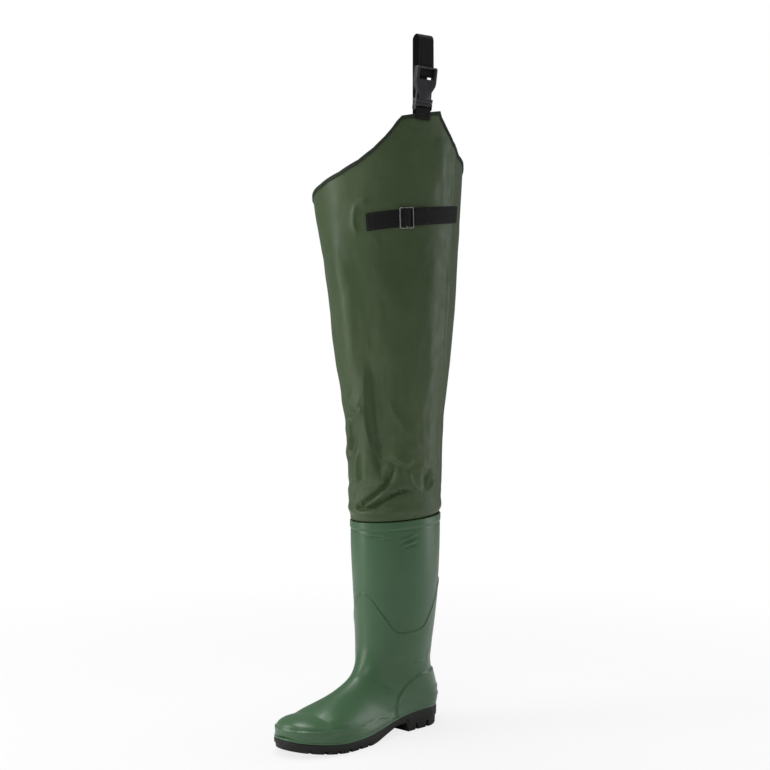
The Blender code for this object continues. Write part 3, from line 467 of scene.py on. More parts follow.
pvc, tree, shader = start_material("boot_pvc")
cloud = noise_value(tree, 9.0, 3.0)
smear = noise_value(tree, 70.0, 6.0, 0.6)
skin_grain = noise_value(tree, 1100.0)
colour_by(tree, shader, cloud, (
    (0.32, (0.045, 0.112, 0.047)),
    (0.5, (0.053, 0.127, 0.056)),
    (0.7, (0.064, 0.144, 0.068)),
))
roughness_by(tree, shader, smear, 0.30, 0.44, 0.3, 0.7)
relief_by(tree, shader, (cloud, 0.25, 0.002), (skin_grain, 0.10, 0.0001))
set_inputs(shader, {"Specular IOR Level": 0.35, "Coat Weight": 0.28, "Coat Roughness": 0.32})

welt_rings = []
shares = edge_shares()
for share, outer in [(share, True) for share in shares] + [(share, False) for share in shares[::-1]]:
    ends = [
        Vector((half_width(share + step, outer), -(share + step) * SOLE_LENGTH, 0))
        for step in (-WELT_STEP, WELT_STEP)
    ]
    edge = (ends[1] - ends[0]).normalized()
    inward = Vector((edge.y, -edge.x, 0))
    width = half_width(share, outer)
    if not outer:
        inward.x = -inward.x
        width = -width
    foot = Vector((width, HEEL_TO_ORIGIN - share * SOLE_LENGTH, 0))
    ring = []
    for rise, inset in WELT_PROFILE:
        point = foot + inward * inset * WELT_HEIGHT
        ring.append((point.x, point.y, float(sole_top(HEEL_TO_ORIGIN - point.y)) + GAP + rise * WELT_HEIGHT))
    welt_rings.append(ring)
welt_mesh = rings_mesh("welt_ridge", welt_rings, wrap=True)
add_piece("welt_ridge", welt_mesh, pvc, "welt", sharp=60)


# The upper: one wall of green PVC moulded on the last, with a rolled rim, an embossed ankle line, a
# raised heel counter and toe guard, and a few soft creases where it has been bent below the rim.
BOOT_HEIGHT = 0.316
ANKLE_HEIGHT = 0.140
INSTEP_HEIGHT = 0.098
RIM_DEPTH = 0.152
RIM_WIDTH = 0.120
SHAFT_CENTRE = 0.074
BOOT_WALL = 0.0025
TOE_TIP = 0.983
TOE_TIP_HEIGHT = 0.34
NOSE_POWER = 2.3
OUTER_COLUMNS = 200
INNER_COLUMNS = 80
LINING_STEP = 9
SHAFT_REACH = 0.066
RIM_SLOPE = -0.066
RIM_RISE = 0.004
RIM_ROLL = 0.0009
BAND_HEIGHT = 0.0085
BAND_STEP = 0.0008
BAND_EDGE = 0.0012
BAND_GROOVE = 0.0005
GROOVE_PLACE = 0.0108
LEDGES = (0.059, 0.047)
LEDGE_STEP = 0.0016
LEDGE_HEIGHT = 0.0065
LEDGE_TURN = 42
TOE_CAP_STEP = 0.0004
TOE_CAP_START = 0.20
EDGE_FILL = 0.016
EDGE_INSET = 0.0012
EDGE_REACH = 0.014
EDGE_FADE = 0.006

# Sections of the shaft from the rim down: alongs from its centre over RIM_DEPTH, heights over the way
# from the ankle to the rim, half widths over RIM_WIDTH
ShaftRow = namedtuple("ShaftRow", "front front_height back back_height outer inner")
SHAFT = [ShaftRow(*row) for row in (
    (0.500, 0.988, -0.500, 1.045, 0.500, 0.500),
    (0.493, 0.740, -0.493, 0.740, 0.496, 0.496),
    (0.474, 0.455, -0.474, 0.443, 0.479, 0.479),
    (0.456, 0.199, -0.434, 0.159, 0.454, 0.454),
    (0.452, 0.000, -0.388, -0.125, 0.421, 0.421),
)]

# Sections of the foot from the ankle to the toe: alongs over SOLE_LENGTH, heights over INSTEP_HEIGHT
# (the back one above the sole), half widths over BALL_WIDTH
FootRow = namedtuple("FootRow", "front front_height back back_height outer inner waist power")
FOOT = [FootRow(*row) for row in (
    (0.474, 1.245, 0.050, 0.653, 0.453, 0.453, 0.50, 2.0),
    (0.490, 1.102, 0.022, 0.388, 0.415, 0.408, 0.46, 2.2),
    (0.513, 0.995, 0.009, 0.190, 0.380, 0.375, 0.42, 2.6),
    (0.539, 0.915, 0.024, 0.040, 0.355, 0.350, 0.40, 3.2),
    (0.573, 0.845, 0.098, 0.000, 0.348, 0.335, 0.38, 3.8),
    (0.616, 0.784, 0.207, 0.000, 0.347, 0.318, 0.36, 4.4),
    (0.664, 0.732, 0.333, 0.000, 0.360, 0.300, 0.34, 4.8),
    (0.713, 0.682, 0.467, 0.000, 0.412, 0.330, 0.33, 5.0),
    (0.761, 0.634, 0.583, 0.000, 0.458, 0.390, 0.33, 5.0),
    (0.805, 0.586, 0.683, 0.000, 0.470, 0.436, 0.34, 5.0),
    (0.846, 0.534, 0.767, 0.000, 0.440, 0.440, 0.36, 5.0),
)]

# Lines moulded on the boot: turn in degrees, 90 at the front and -90 at the back on both of its sides,
# and height in metres
LineRow = namedtuple("LineRow", "turn height")
ANKLE_LINE = [LineRow(*row) for row in (
    (-90, 0.226),
    (-60, 0.224),
    (-46, 0.214),
    (-37, 0.199),
    (-28, 0.185),
    (-18, 0.172),
    (-8, 0.160),
    (3, 0.154),
    (16, 0.1523),
    (28, 0.1517),
    (39, 0.1512),
    (46, 0.1528),
    (52, 0.159),
    (59, 0.171),
    (66, 0.1825),
    (73, 0.194),
    (80, 0.2035),
    (90, 0.2105),
)]
COUNTER_LINE = [LineRow(*row) for row in (
    (-90, 0.087),
    (-23, 0.0861),
    (-10, 0.0855),
    (2, 0.0828),
    (13, 0.0781),
    (24, 0.0717),
    (35.5, 0.0629),
    (43.5, 0.0547),
    (46, 0.046),
    (47, 0.030),
    (48, -0.02),
)]
HEEL_CURVE = [LineRow(*row) for row in (
    (-36, 0.158), (-30, 0.133), (-28, 0.1205), (-22, 0.1095), (-11, 0.1056), (1, 0.1045), (14, 0.1048),
)]
LOW_HEEL_CURVE = [LineRow(*row) for row in (
    (-30, 0.104), (-21.5, 0.100), (-8, 0.095), (2, 0.0922), (11, 0.0904),
)]
RIM_RIDGE = [LineRow(*row) for row in ((86, 0.2975), (71, 0.2962), (62.5, 0.2952), (52, 0.2950))]
RIM_CREASE = [LineRow(*row) for row in (
    (44, 0.2880), (39, 0.289), (30.5, 0.2915), (21.5, 0.2954), (12, 0.299),
)]
LOW_RIM_CREASE = [LineRow(*row) for row in ((38, 0.2815), (31.5, 0.2828), (21.5, 0.2852), (11, 0.2885))]

# Thin ridges along such lines: how far they stand out, their width, how soon they die away at their
# ends, and whether they are on the outer side alone
RidgeRow = namedtuple("RidgeRow", "line lift width fade outer_only")
RIDGES = [RidgeRow(*row) for row in (
    (HEEL_CURVE, 0.0012, 0.0017, 0.005, False),
    (LOW_HEEL_CURVE, 0.0008, 0.0015, 0.005, False),
    (RIM_RIDGE, 0.0014, 0.0016, 0.012, True),
    (RIM_CREASE, 0.0020, 0.0021, 0.016, True),
    (LOW_RIM_CREASE, 0.0015, 0.0018, 0.014, True),
)]

# Steps below such lines: how far the face stands out, where above the line it starts and how soon it is
# full, then the ridge under its edge and the groove above it, each with its lift, place and width
STEP_COLUMNS = "step start fade ridge ridge_drop ridge_width groove groove_rise groove_width"
StepRow = namedtuple("StepRow", STEP_COLUMNS)
ANKLE_STEP = StepRow(0.0007, 0.0006, 0.0016, 0.0010, 0.0005, 0.0011, 0.0005, 0.0018, 0.0012)
COUNTER_STEP = StepRow(0.0018, 0.0010, 0.0030, 0.0005, 0.0020, 0.0018, 0.0000, 0.0018, 0.0012)
GUARD_STEP = StepRow(0.0013, 0.0005, 0.0013, 0.0003, 0.0010, 0.0012, 0.0003, 0.0015, 0.0010)

# Top of the band round the toe: along and height in metres
TOE_GUARD_LINE = (
    (0.110, 0.012),
    (0.130, 0.0290),
    (0.1526, 0.0330),
    (0.1993, 0.0312),
    (0.2298, 0.0340),
    (0.2547, 0.0352),
    (0.2751, 0.0358),
    (0.2887, 0.0377),
    (0.3000, 0.0386),
    (0.3350, 0.0400),
)

# Edge of the toe cap: height and along in metres
TOE_CAP_LINE = (
    (0.010, 0.246),
    (0.030, 0.2540),
    (0.036, 0.2596),
    (0.0432, 0.2689),
    (0.0493, 0.2704),
    (0.056, 0.262),
    (0.080, 0.250),
)

Section = namedtuple("Section", "front_along front_height back_along back_height outer inner waist power")
shaft_rise = BOOT_HEIGHT - ANKLE_HEIGHT
SECTIONS = [
    Section(
        SHAFT_CENTRE + row.front * RIM_DEPTH,
        ANKLE_HEIGHT + row.front_height * shaft_rise,
        SHAFT_CENTRE + row.back * RIM_DEPTH,
        ANKLE_HEIGHT + row.back_height * shaft_rise,
        row.outer * RIM_WIDTH,
        row.inner * RIM_WIDTH,
        0.5,
        2.0,
    )
    for row in SHAFT
] + [
    Section(
        row.front * SOLE_LENGTH,
        row.front_height * INSTEP_HEIGHT,
        row.back * SOLE_LENGTH,
        float(sole_top(row.back * SOLE_LENGTH)) + GAP + row.back_height * INSTEP_HEIGHT,
        row.outer * BALL_WIDTH,
        row.inner * BALL_WIDTH,
        row.waist,
        row.power,
    )
    for row in FOOT
]
NOSE_START = len(SECTIONS) - 1


def section_at(place):
    last = len(SECTIONS) - 1
    low = min(int(place), last - 1)
    near = [SECTIONS[min(max(low + step, 0), last)] for step in (-1, 0, 1, 2)]
    return Section(*(
        hermite(start, end, (end - before) / 2, (after - start) / 2, place - low)
        for before, start, end, after in zip(*near)
    ))


def boot_ring(place, turns):
    """Points round the boot's face. Past NOSE_START, each unit of place is 90 degrees of the nose."""
    section = section_at(min(place, NOSE_START))
    up = np.sin(turns)
    across = np.cos(turns)
    power = np.where(up < 0, 2 / section.power, 1)
    side = np.where(across > 0, section.outer, -section.inner)
    reach = np.abs(up) ** power * np.where(up > 0, 1 - section.waist, -section.waist) + section.waist
    x = side * np.abs(across) ** power
    along = section.back_along + (section.front_along - section.back_along) * reach
    height = section.back_height + (section.front_height - section.back_height) * reach
    if place > NOSE_START:
        quarter = (place - NOSE_START) * pi / 2
        shrink = max(np.cos(quarter), 0) ** (2 / NOSE_POWER)
        advance = np.sin(quarter) ** (2 / NOSE_POWER)
        middle_along = (section.back_along + section.front_along) / 2
        middle_height = (section.back_height + section.front_height) / 2
        along_move = TOE_TIP * SOLE_LENGTH - middle_along
        height_move = TOE_TIP_HEIGHT * INSTEP_HEIGHT - middle_height
        x = x * shrink
        along = middle_along + (along - middle_along) * shrink + along_move * advance
        height = middle_height + (height - middle_height) * shrink + height_move * advance
    return np.column_stack((x, HEEL_TO_ORIGIN - along, np.maximum(height, sole_top(along) + GAP)))


def face_normals(grid):
    """The ways out of a grid of rings."""
    round_it = np.roll(grid, -1, axis=1) - np.roll(grid, 1, axis=1)
    down_it = np.gradient(grid, axis=0)
    normals = np.cross(round_it, down_it)
    return normals / np.maximum(np.linalg.norm(normals, axis=2, keepdims=True), 1e-12)


def line_distance(line, first, second):
    """Distance of points from a line of several straight parts."""
    nearest = np.full(np.shape(first), 1e9)
    for start, end in zip(line, line[1:]):
        run = (end[0] - start[0], end[1] - start[1])
        part = ((first - start[0]) * run[0] + (second - start[1]) * run[1]) / (run[0] ** 2 + run[1] ** 2)
        part = np.clip(part, 0, 1)
        gap = np.hypot(first - start[0] - run[0] * part, second - start[1] - run[1] * part)
        nearest = np.minimum(nearest, gap)
    return nearest


def below_line(line, first, second):
    """Distance below a line, negative above it."""
    level = np.interp(first, [point[0] for point in line], [point[1] for point in line])
    return line_distance(line, first, second) * np.where(second < level, 1, -1)


def ridge(distance, width):
    """A soft bump that is 1 on its line."""
    return np.exp(-(distance / width) ** 2)


def laid_flat(line):
    """A line with its turns in degrees laid out flat at the shaft's reach."""
    return [(radians(row.turn) * SHAFT_REACH, row.height) for row in line]


def moulded_line(line, sweep, height, width, fade):
    """A thin raised line with a groove under it, which dies away at its ends."""
    flat = laid_flat(line)
    ends = [np.hypot(sweep - end[0], height - end[1]) for end in (flat[0], flat[-1])]
    calm = smooth(np.minimum(*ends) / fade)
    distance = line_distance(flat, sweep, height)
    under = line_distance([(first, second - 1.6 * width) for first, second in flat], sweep, height)
    return calm * (0.8 * ridge(distance, width) - ridge(under, width))


def step_lift(step, distance):
    """How far a step stands out at distances below its line."""
    face = step.step * smooth((distance + step.start) / step.fade)
    edge = step.ridge * ridge(distance - step.ridge_drop, step.ridge_width)
    return face + edge - step.groove * ridge(distance + step.groove_rise, step.groove_width)


def boot_relief(grid):
    """How far each point of the boot stands out from its plain form."""
    along = HEEL_TO_ORIGIN - grid[..., 1]
    height = grid[..., 2]
    turn = np.degrees(np.arctan2(along - SHAFT_CENTRE, np.abs(grid[..., 0])))
    sweep = np.radians(turn) * SHAFT_REACH
    below_rim = SECTIONS[0].front_height + (along - SHAFT_CENTRE) * RIM_SLOPE - height + RIM_RISE
    lift = BAND_STEP * (1 - smooth((below_rim - BAND_HEIGHT) / BAND_EDGE))
    lift -= BAND_GROOVE * ridge(below_rim - GROOVE_PLACE, BAND_EDGE)
    above_welt = smooth((height - sole_top(along) - WELT_HEIGHT) / 0.0012)
    lift += above_welt * step_lift(ANKLE_STEP, below_line(laid_flat(ANKLE_LINE), sweep, height))
    lift += above_welt * step_lift(COUNTER_STEP, below_line(laid_flat(COUNTER_LINE), sweep, height))
    lift += above_welt * step_lift(GUARD_STEP, below_line(TOE_GUARD_LINE, along, height))
    cap = -below_line(TOE_CAP_LINE, height, along)
    lift += above_welt * TOE_CAP_STEP * smooth((cap + 0.001) / 0.0022) * (along > TOE_CAP_START)
    for row in RIDGES:
        on_side = grid[..., 0] > 0 if row.outer_only else 1
        lift += on_side * row.lift * moulded_line(row.line, sweep, height, row.width, row.fade)
    at_back = ridge((turn + 90) / LEDGE_TURN, 1)
    for level in LEDGES:
        step = smooth((level - height) / 0.0012) * smooth((height - level + LEDGE_HEIGHT) / 0.006)
        lift += LEDGE_STEP * at_back * step * above_welt
    return lift


def filled_to_edge(grid):
    """The boot's foot drawn out at its lower edge until it meets the welt all round."""
    shares = np.concatenate([
        np.linspace(0.0005, 0.2, 60), np.linspace(0.2, 0.7, 60)[1:], np.linspace(0.7, 0.9995, 90)[1:],
    ])
    edge = [(half_width(share, True), HEEL_TO_ORIGIN - share * SOLE_LENGTH) for share in shares]
    edge += [(-half_width(share, False), HEEL_TO_ORIGIN - share * SOLE_LENGTH) for share in shares[::-1]]
    edge = np.array(edge)
    rise = grid[..., 2] - sole_top(HEEL_TO_ORIGIN - grid[..., 1])
    low = rise < EDGE_FILL
    points = grid[low]
    ways = edge[None, :, :] - points[:, None, :2]
    gaps = np.hypot(ways[..., 0], ways[..., 1])
    nearest = gaps.argmin(axis=1)
    pick = np.arange(len(points))
    gap = gaps[pick, nearest]
    part = smooth((EDGE_FILL - rise[low]) / EDGE_FILL) * np.maximum(1 - EDGE_INSET / gap, 0)
    points[:, :2] += ways[pick, nearest] * (part * smooth((EDGE_REACH - gap) / EDGE_FADE))[:, None]
    filled = grid.copy()
    filled[low] = points
    return filled


boot_places = np.concatenate([
    [0, 0.012],
    np.linspace(0.03, 1, 34),
    np.linspace(1, 4, 104)[1:],
    np.linspace(4, 5, 24)[1:],
    np.linspace(5, NOSE_START, 104)[1:],
    NOSE_START + np.linspace(0, 0.985, 30)[1:],
])
boot_turns = np.concatenate([
    np.linspace(-pi / 2, pi / 2, OUTER_COLUMNS, endpoint=False),
    np.linspace(pi / 2, 3 * pi / 2, INNER_COLUMNS, endpoint=False),
])
plain_boot = np.array([boot_ring(place, boot_turns) for place in boot_places])
boot_out = face_normals(plain_boot)
boot_face = filled_to_edge(plain_boot) + boot_out * boot_relief(plain_boot)[..., None]
inner_rows = list(range(0, len(boot_places), LINING_STEP))
boot_lining = plain_boot[inner_rows] - boot_out[inner_rows] * BOOT_WALL
rolled_rim = [
    boot_face[0] + (boot_lining[0] - boot_face[0]) * share + (0, 0, RIM_ROLL)
    for share in (0.25, 0.75)
]
boot_mesh = rings_mesh("boot_upper", np.concatenate([boot_face[::-1], rolled_rim, boot_lining]))
add_piece("boot_upper", boot_mesh, pvc, "boot", sharp=60)


# The insole: a loose foam sole faced with cloth, cut to the inside of the boot. It stays as the
# frame has it and gets a finish of short brushed fibre.
brushed, tree, shader = start_material("insole_cloth")
fibre = noise_value(tree, 700.0, 4.0)
colour_by(tree, shader, fibre, ((0.3, (0.05, 0.05, 0.045)), (0.7, (0.11, 0.11, 0.10))))
relief_by(tree, shader, (fibre, 0.6, 0.0004))
set_inputs(shader, {"Roughness": 0.95, "Specular IOR Level": 0.2})
for material_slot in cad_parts["insole"].material_slots:
    material_slot.material = brushed


# The leg: a tube of olive cloth coated with PVC, welded to the inside of the boot's rim and closed by
# a welded seam towards the back. It stands in soft folds, deepest where it bunches above the rim.
THIGH_DEPTH = 0.246
THIGH_WIDTH = 0.206
HIP_HEIGHT = 0.913
LEG_LAP = 0.022
LEG_WALL = 0.001
FINE_TURNS = (-34, 132)
FINE_STEP = 1.1
COARSE_STEP = 2.8
LINING_RINGS = 3

# The cloth clears the rolled rim and spills over it: height of the rim at its middle and how far it
# falls to the front, how far the cloth stands out there, and where it starts, is full and is in again
RIM_TOP = 0.3190
RIM_FALL = 0.005
SPILL = 0.0050
SPILL_START = 0.0004
SPILL_RISE = 0.0034
SPILL_TOP = 0.008
SPILL_FADE = 0.022
SETTLED = 0.014

# Where the cloth lies flat: under the thigh strap, and by TAB_CALM on the hip tab
STRAP_CALM = 0.0130
STRAP_FADE = 0.006
TAB_TURN = 16
TAB_SPREAD = 25
TAB_FOOT = 0.868
TAB_CALM = 0.8

# Sections of the leg: height over the way from the rim to the hip, depth and lean over THIGH_DEPTH,
# width over THIGH_WIDTH
LegRow = namedtuple("LegRow", "height depth width lean")
LEG = [LegRow(*row) for row in (
    (-0.040, 0.288, 0.270, 0.000),
    (0.000, 0.289, 0.271, 0.000),
    (0.014, 0.290, 0.272, 0.000),
    (0.030, 0.308, 0.290, 0.000),
    (0.060, 0.316, 0.304, 0.006),
    (0.130, 0.320, 0.310, 0.002),
    (0.200, 0.324, 0.320, 0.005),
    (0.265, 0.337, 0.330, 0.010),
    (0.330, 0.362, 0.354, 0.013),
    (0.390, 0.386, 0.378, 0.017),
    (0.450, 0.404, 0.396, 0.023),
    (0.565, 0.436, 0.428, 0.032),
    (0.690, 0.464, 0.458, 0.052),
    (0.800, 0.493, 0.489, 0.070),
    (1.000, 0.525, 0.523, 0.077),
)]

# Top edge of the leg: turn in degrees, height over the way from the rim to the hip
TOP_EDGE = (
    (-0.5, 0.987),
    (1.0, 1.000),
    (31.0, 0.978),
    (34.5, 0.965),
    (38.5, 0.946),
    (43.0, 0.928),
    (51.5, 0.900),
    (62.5, 0.873),
    (79.0, 0.847),
    (101.5, 0.824),
    (135.0, 0.802),
    (180.0, 0.787),
    (225.0, 0.797),
    (270.0, 0.845),
    (320.0, 0.898),
    (334.5, 0.907),
    (341.5, 0.924),
    (346.5, 0.941),
    (352.0, 0.958),
    (359.5, 0.987),
)

# Folds of the cloth, by their width on the side above (or left of) their line and below it, how far
# they stand out, how sharp their line is, how soon they die away at their ends, and their line
# (turn in degrees and height in metres)
FoldRow = namedtuple("FoldRow", "above below depth sharp fade line")
FOLDS = [FoldRow(*row) for row in (
    # Above the rim, on the outer side
    (0.0300, 0.0060, -0.0040, 1.3, 0.014, ((92, 0.376), (84, 0.3785), (65, 0.379), (50, 0.381), (43, 0.392))),
    (0.0090, 0.0110, 0.0044, 1.1, 0.010, ((88, 0.3660), (78, 0.3685), (66, 0.3700), (55, 0.3745))),
    (0.0070, 0.0035, 0.0034, 1.3, 0.012, (
        (86, 0.3480), (76, 0.3540), (66, 0.3630), (57, 0.3725), (50, 0.3815),
    )),
    (0.0034, 0.0028, -0.0052, 1.1, 0.012, (
        (84.5, 0.341), (76, 0.3476), (65.5, 0.3568), (57, 0.3658), (49.5, 0.3746), (44, 0.3833),
        (40.4, 0.3985),
    )),
    (0.0040, 0.0036, 0.0040, 1.3, 0.014, (
        (84, 0.3385), (72, 0.3435), (60, 0.3525), (50, 0.3620), (42, 0.371),
    )),
    (0.0030, 0.0026, -0.0066, 1.1, 0.012, (
        (99, 0.339), (87.5, 0.335), (76.5, 0.3368), (65, 0.3405), (54.5, 0.348), (45.5, 0.354), (37.5, 0.358),
        (29, 0.362), (20.5, 0.3636),
    )),
    (0.0046, 0.0046, -0.0046, 1.4, 0.003, ((87, 0.3432), (81, 0.3425))),
    (0.0024, 0.0024, -0.0026, 1.2, 0.005, ((46, 0.3565), (41, 0.3585))),
    (0.0024, 0.0024, -0.0028, 1.2, 0.005, ((37, 0.3595), (31, 0.3620))),
    (0.0060, 0.0080, 0.0040, 1.8, 0.030, (
        (128, 0.340), (105, 0.333), (90, 0.329), (70, 0.329), (48, 0.330), (28, 0.336),
    )),
    (0.0040, 0.0040, 0.0026, 1.4, 0.010, ((104, 0.347), (95, 0.3435), (88, 0.3395))),
    # The shin, with the hollow right of its sharp edge
    (0.0300, 0.0100, -0.0060, 1.5, 0.050, ((64, 0.560), (63, 0.500), (62, 0.450), (59, 0.415), (56, 0.392))),
    (0.0280, 0.0080, -0.0050, 1.4, 0.020, ((64, 0.445), (64, 0.415), (60, 0.395), (57, 0.386))),
    (0.0040, 0.0140, 0.0040, 1.1, 0.030, (
        (72, 0.540), (74, 0.510), (75, 0.481), (75.5, 0.459), (73, 0.437), (70, 0.420),
    )),
    (0.0100, 0.0060, 0.0036, 1.2, 0.010, ((76, 0.483), (84, 0.478), (92, 0.470), (98, 0.460))),
    (0.0120, 0.0040, 0.0030, 1.2, 0.010, ((99, 0.499), (90, 0.491), (82, 0.484))),
    (0.0034, 0.0110, 0.0058, 1.1, 0.008, ((98, 0.472), (99, 0.4543), (103, 0.4363), (108, 0.4182))),
    (0.0160, 0.0160, -0.0030, 1.8, 0.020, ((133, 0.478), (132, 0.450))),
    (0.0160, 0.0160, 0.0028, 2.0, 0.020, ((133, 0.430), (132, 0.400))),
    (0.0200, 0.0200, -0.0026, 2.0, 0.020, ((135, 0.380), (134, 0.360))),
    (0.0060, 0.0060, -0.0030, 1.5, 0.012, (
        (122, 0.410), (112, 0.411), (104, 0.417), (98, 0.428), (96, 0.445),
    )),
    (0.0060, 0.0110, 0.0034, 1.4, 0.016, ((93, 0.420), (94, 0.400), (96, 0.380), (94, 0.362))),
    (0.0060, 0.0120, 0.0026, 1.3, 0.020, (
        (47, 0.497), (42, 0.4786), (35.5, 0.4668), (28.5, 0.452), (24, 0.437),
    )),
    (0.0120, 0.0036, 0.0046, 1.2, 0.024, (
        (51, 0.4150), (43, 0.4120), (34, 0.4045), (26, 0.4020), (18, 0.4070),
    )),
    (0.0040, 0.0080, -0.0036, 1.3, 0.012, ((47, 0.4060), (40, 0.4010), (32, 0.3970), (26, 0.3950))),
    (0.0100, 0.0100, 0.0018, 1.6, 0.020, ((30, 0.430), (16, 0.425), (4, 0.420))),
    # The round dent at the back of the ankle
    (0.0048, 0.0060, 0.0028, 1.3, 0.010, (
        (27, 0.392), (24.7, 0.385), (22, 0.376), (19, 0.3695), (14, 0.3635), (8, 0.3592), (0, 0.3586),
        (-5, 0.363), (-10, 0.371), (-13.5, 0.3786),
    )),
    (0.0060, 0.0060, 0.0014, 1.3, 0.012, (
        (-13.5, 0.3786), (-10, 0.388), (-5, 0.3935), (4.5, 0.3965), (16, 0.3935), (25, 0.392),
    )),
    (0.0110, 0.0110, -0.0036, 1.5, 0.004, ((4, 0.381), (-3, 0.378))),
    (0.0040, 0.0040, 0.0018, 1.3, 0.008, ((-16, 0.375), (-11, 0.369), (-9, 0.362))),
    # Round the strap and on the hip tab
    (0.0026, 0.0044, 0.0036, 1.2, 0.008, (
        (57, 0.7795), (62, 0.777), (66.4, 0.772), (68.5, 0.760), (69.5, 0.748), (68, 0.736),
    )),
    (0.0030, 0.0030, 0.0016, 1.4, 0.008, ((54, 0.718), (47, 0.7265), (42, 0.7345))),
    (0.0030, 0.0030, -0.0016, 1.4, 0.008, ((56, 0.713), (49, 0.722), (43, 0.730))),
    (0.0030, 0.0030, 0.0020, 1.3, 0.006, ((30.5, 0.892), (27.5, 0.883), (25, 0.8735))),
    (0.0040, 0.0030, -0.0022, 1.3, 0.006, ((27.5, 0.892), (25.5, 0.882), (23, 0.8725))),
    (0.0120, 0.0160, 0.0026, 1.5, 0.030, ((2, 0.890), (-2, 0.865), (-5, 0.830), (-6, 0.800))),
    (0.0060, 0.0060, -0.0014, 1.6, 0.010, ((31, 0.880), (28, 0.866), (30, 0.850))),
    (0.0160, 0.0120, -0.0016, 1.6, 0.030, ((22, 0.890), (17, 0.860), (16, 0.825))),
    # Long soft swells down the thigh
    (0.0240, 0.0240, -0.0026, 2.0, 0.060, ((70, 0.735), (67, 0.680), (66, 0.600), (68, 0.540))),
    (0.0260, 0.0260, -0.0018, 2.0, 0.060, ((36, 0.715), (38, 0.650), (41, 0.560))),
    (0.0180, 0.0180, 0.0014, 2.0, 0.060, ((6, 0.720), (6, 0.640), (3, 0.560), (-1, 0.480))),
    (0.0120, 0.0120, -0.0010, 2.0, 0.050, ((-9, 0.700), (-11, 0.600), (-15, 0.500))),
    (0.0200, 0.0200, 0.0026, 2.0, 0.060, ((92, 0.740), (90, 0.650), (92, 0.560), (96, 0.520))),
    (0.0070, 0.0070, -0.0014, 1.6, 0.020, ((52, 0.655), (47, 0.630), (44, 0.600))),
    (0.0100, 0.0160, 0.0022, 1.4, 0.040, ((84, 0.700), (80, 0.660), (80, 0.600), (84, 0.560))),
    (0.0080, 0.0120, 0.0016, 1.4, 0.030, ((30, 0.640), (24, 0.600), (22, 0.540))),
    # The inner side and the back
    (0.0140, 0.0100, -0.0042, 1.6, 0.036, ((140, 0.398), (155, 0.385), (172, 0.380), (190, 0.388))),
    (0.0090, 0.0090, 0.0026, 1.8, 0.030, ((142, 0.366), (155, 0.360), (180, 0.352), (200, 0.354))),
    (0.0034, 0.0034, -0.0048, 1.2, 0.024, (
        (138, 0.350), (152, 0.347), (175, 0.342), (196, 0.347), (214, 0.360),
    )),
    (0.0040, 0.0040, 0.0026, 1.6, 0.020, ((150, 0.338), (185, 0.334), (215, 0.345))),
    (0.0150, 0.0150, -0.0036, 2.0, 0.040, ((150, 0.560), (158, 0.500), (160, 0.440), (165, 0.410))),
    (0.0080, 0.0060, 0.0030, 1.6, 0.030, ((136, 0.510), (140, 0.470), (143, 0.430))),
    (0.0026, 0.0026, -0.0044, 1.2, 0.020, (
        (228, 0.352), (250, 0.345), (275, 0.350), (300, 0.362), (318, 0.364),
    )),
    (0.0060, 0.0040, 0.0028, 1.6, 0.020, ((232, 0.360), (255, 0.354), (280, 0.360), (305, 0.373))),
    (0.0120, 0.0120, -0.0034, 1.8, 0.030, ((225, 0.430), (250, 0.405), (285, 0.395), (315, 0.405))),
    (0.0160, 0.0160, -0.0034, 2.0, 0.050, ((236, 0.560), (232, 0.500), (240, 0.440))),
    (0.0200, 0.0200, -0.0030, 2.0, 0.060, ((286, 0.720), (292, 0.620), (298, 0.520))),
    (0.0220, 0.0220, -0.0030, 2.0, 0.060, ((184, 0.740), (188, 0.660), (182, 0.590))),
    (0.0220, 0.0220, -0.0026, 2.0, 0.060, ((122, 0.740), (118, 0.660), (120, 0.590))),
)]

# The welded seam: height in metres, turn in degrees of its middle
SEAM = ((0.320, -28.0), (0.460, -29.0), (0.520, -26.0), (0.575, -19.5), (0.700, -18.0), (0.870, -18.5))
SEAM_WIDTH = 0.010
SEAM_STEP = 0.0009
SEAM_EDGE = 0.0012
CRUMPLE = 0.0011

# Thigh strap: turns and heights of its ends
STRAP_FRONT_TURN = radians(59)
STRAP_BACK_TURN = radians(-26)
STRAP_FRONT_HEIGHT = 0.750
STRAP_BACK_HEIGHT = 0.771


def strap_height(turn):
    share = (STRAP_FRONT_TURN - turn) / (STRAP_FRONT_TURN - STRAP_BACK_TURN)
    return STRAP_FRONT_HEIGHT + (STRAP_BACK_HEIGHT - STRAP_FRONT_HEIGHT) * share


def top_edge(turn):
    """Height of the leg's top edge at turns in radians."""
    place = np.mod(np.degrees(turn), 360)
    place = np.where(place > TOP_EDGE[-1][0], place - 360, place)
    turns = [row[0] for row in TOP_EDGE]
    shares = [row[1] for row in TOP_EDGE]
    return BOOT_HEIGHT + np.interp(place, turns, shares) * (HIP_HEIGHT - BOOT_HEIGHT)


leg_levels = np.linspace(LEG[0].height, 1.0, 420)
leg_table = np.array([read_smooth(LEG, level) for level in leg_levels])


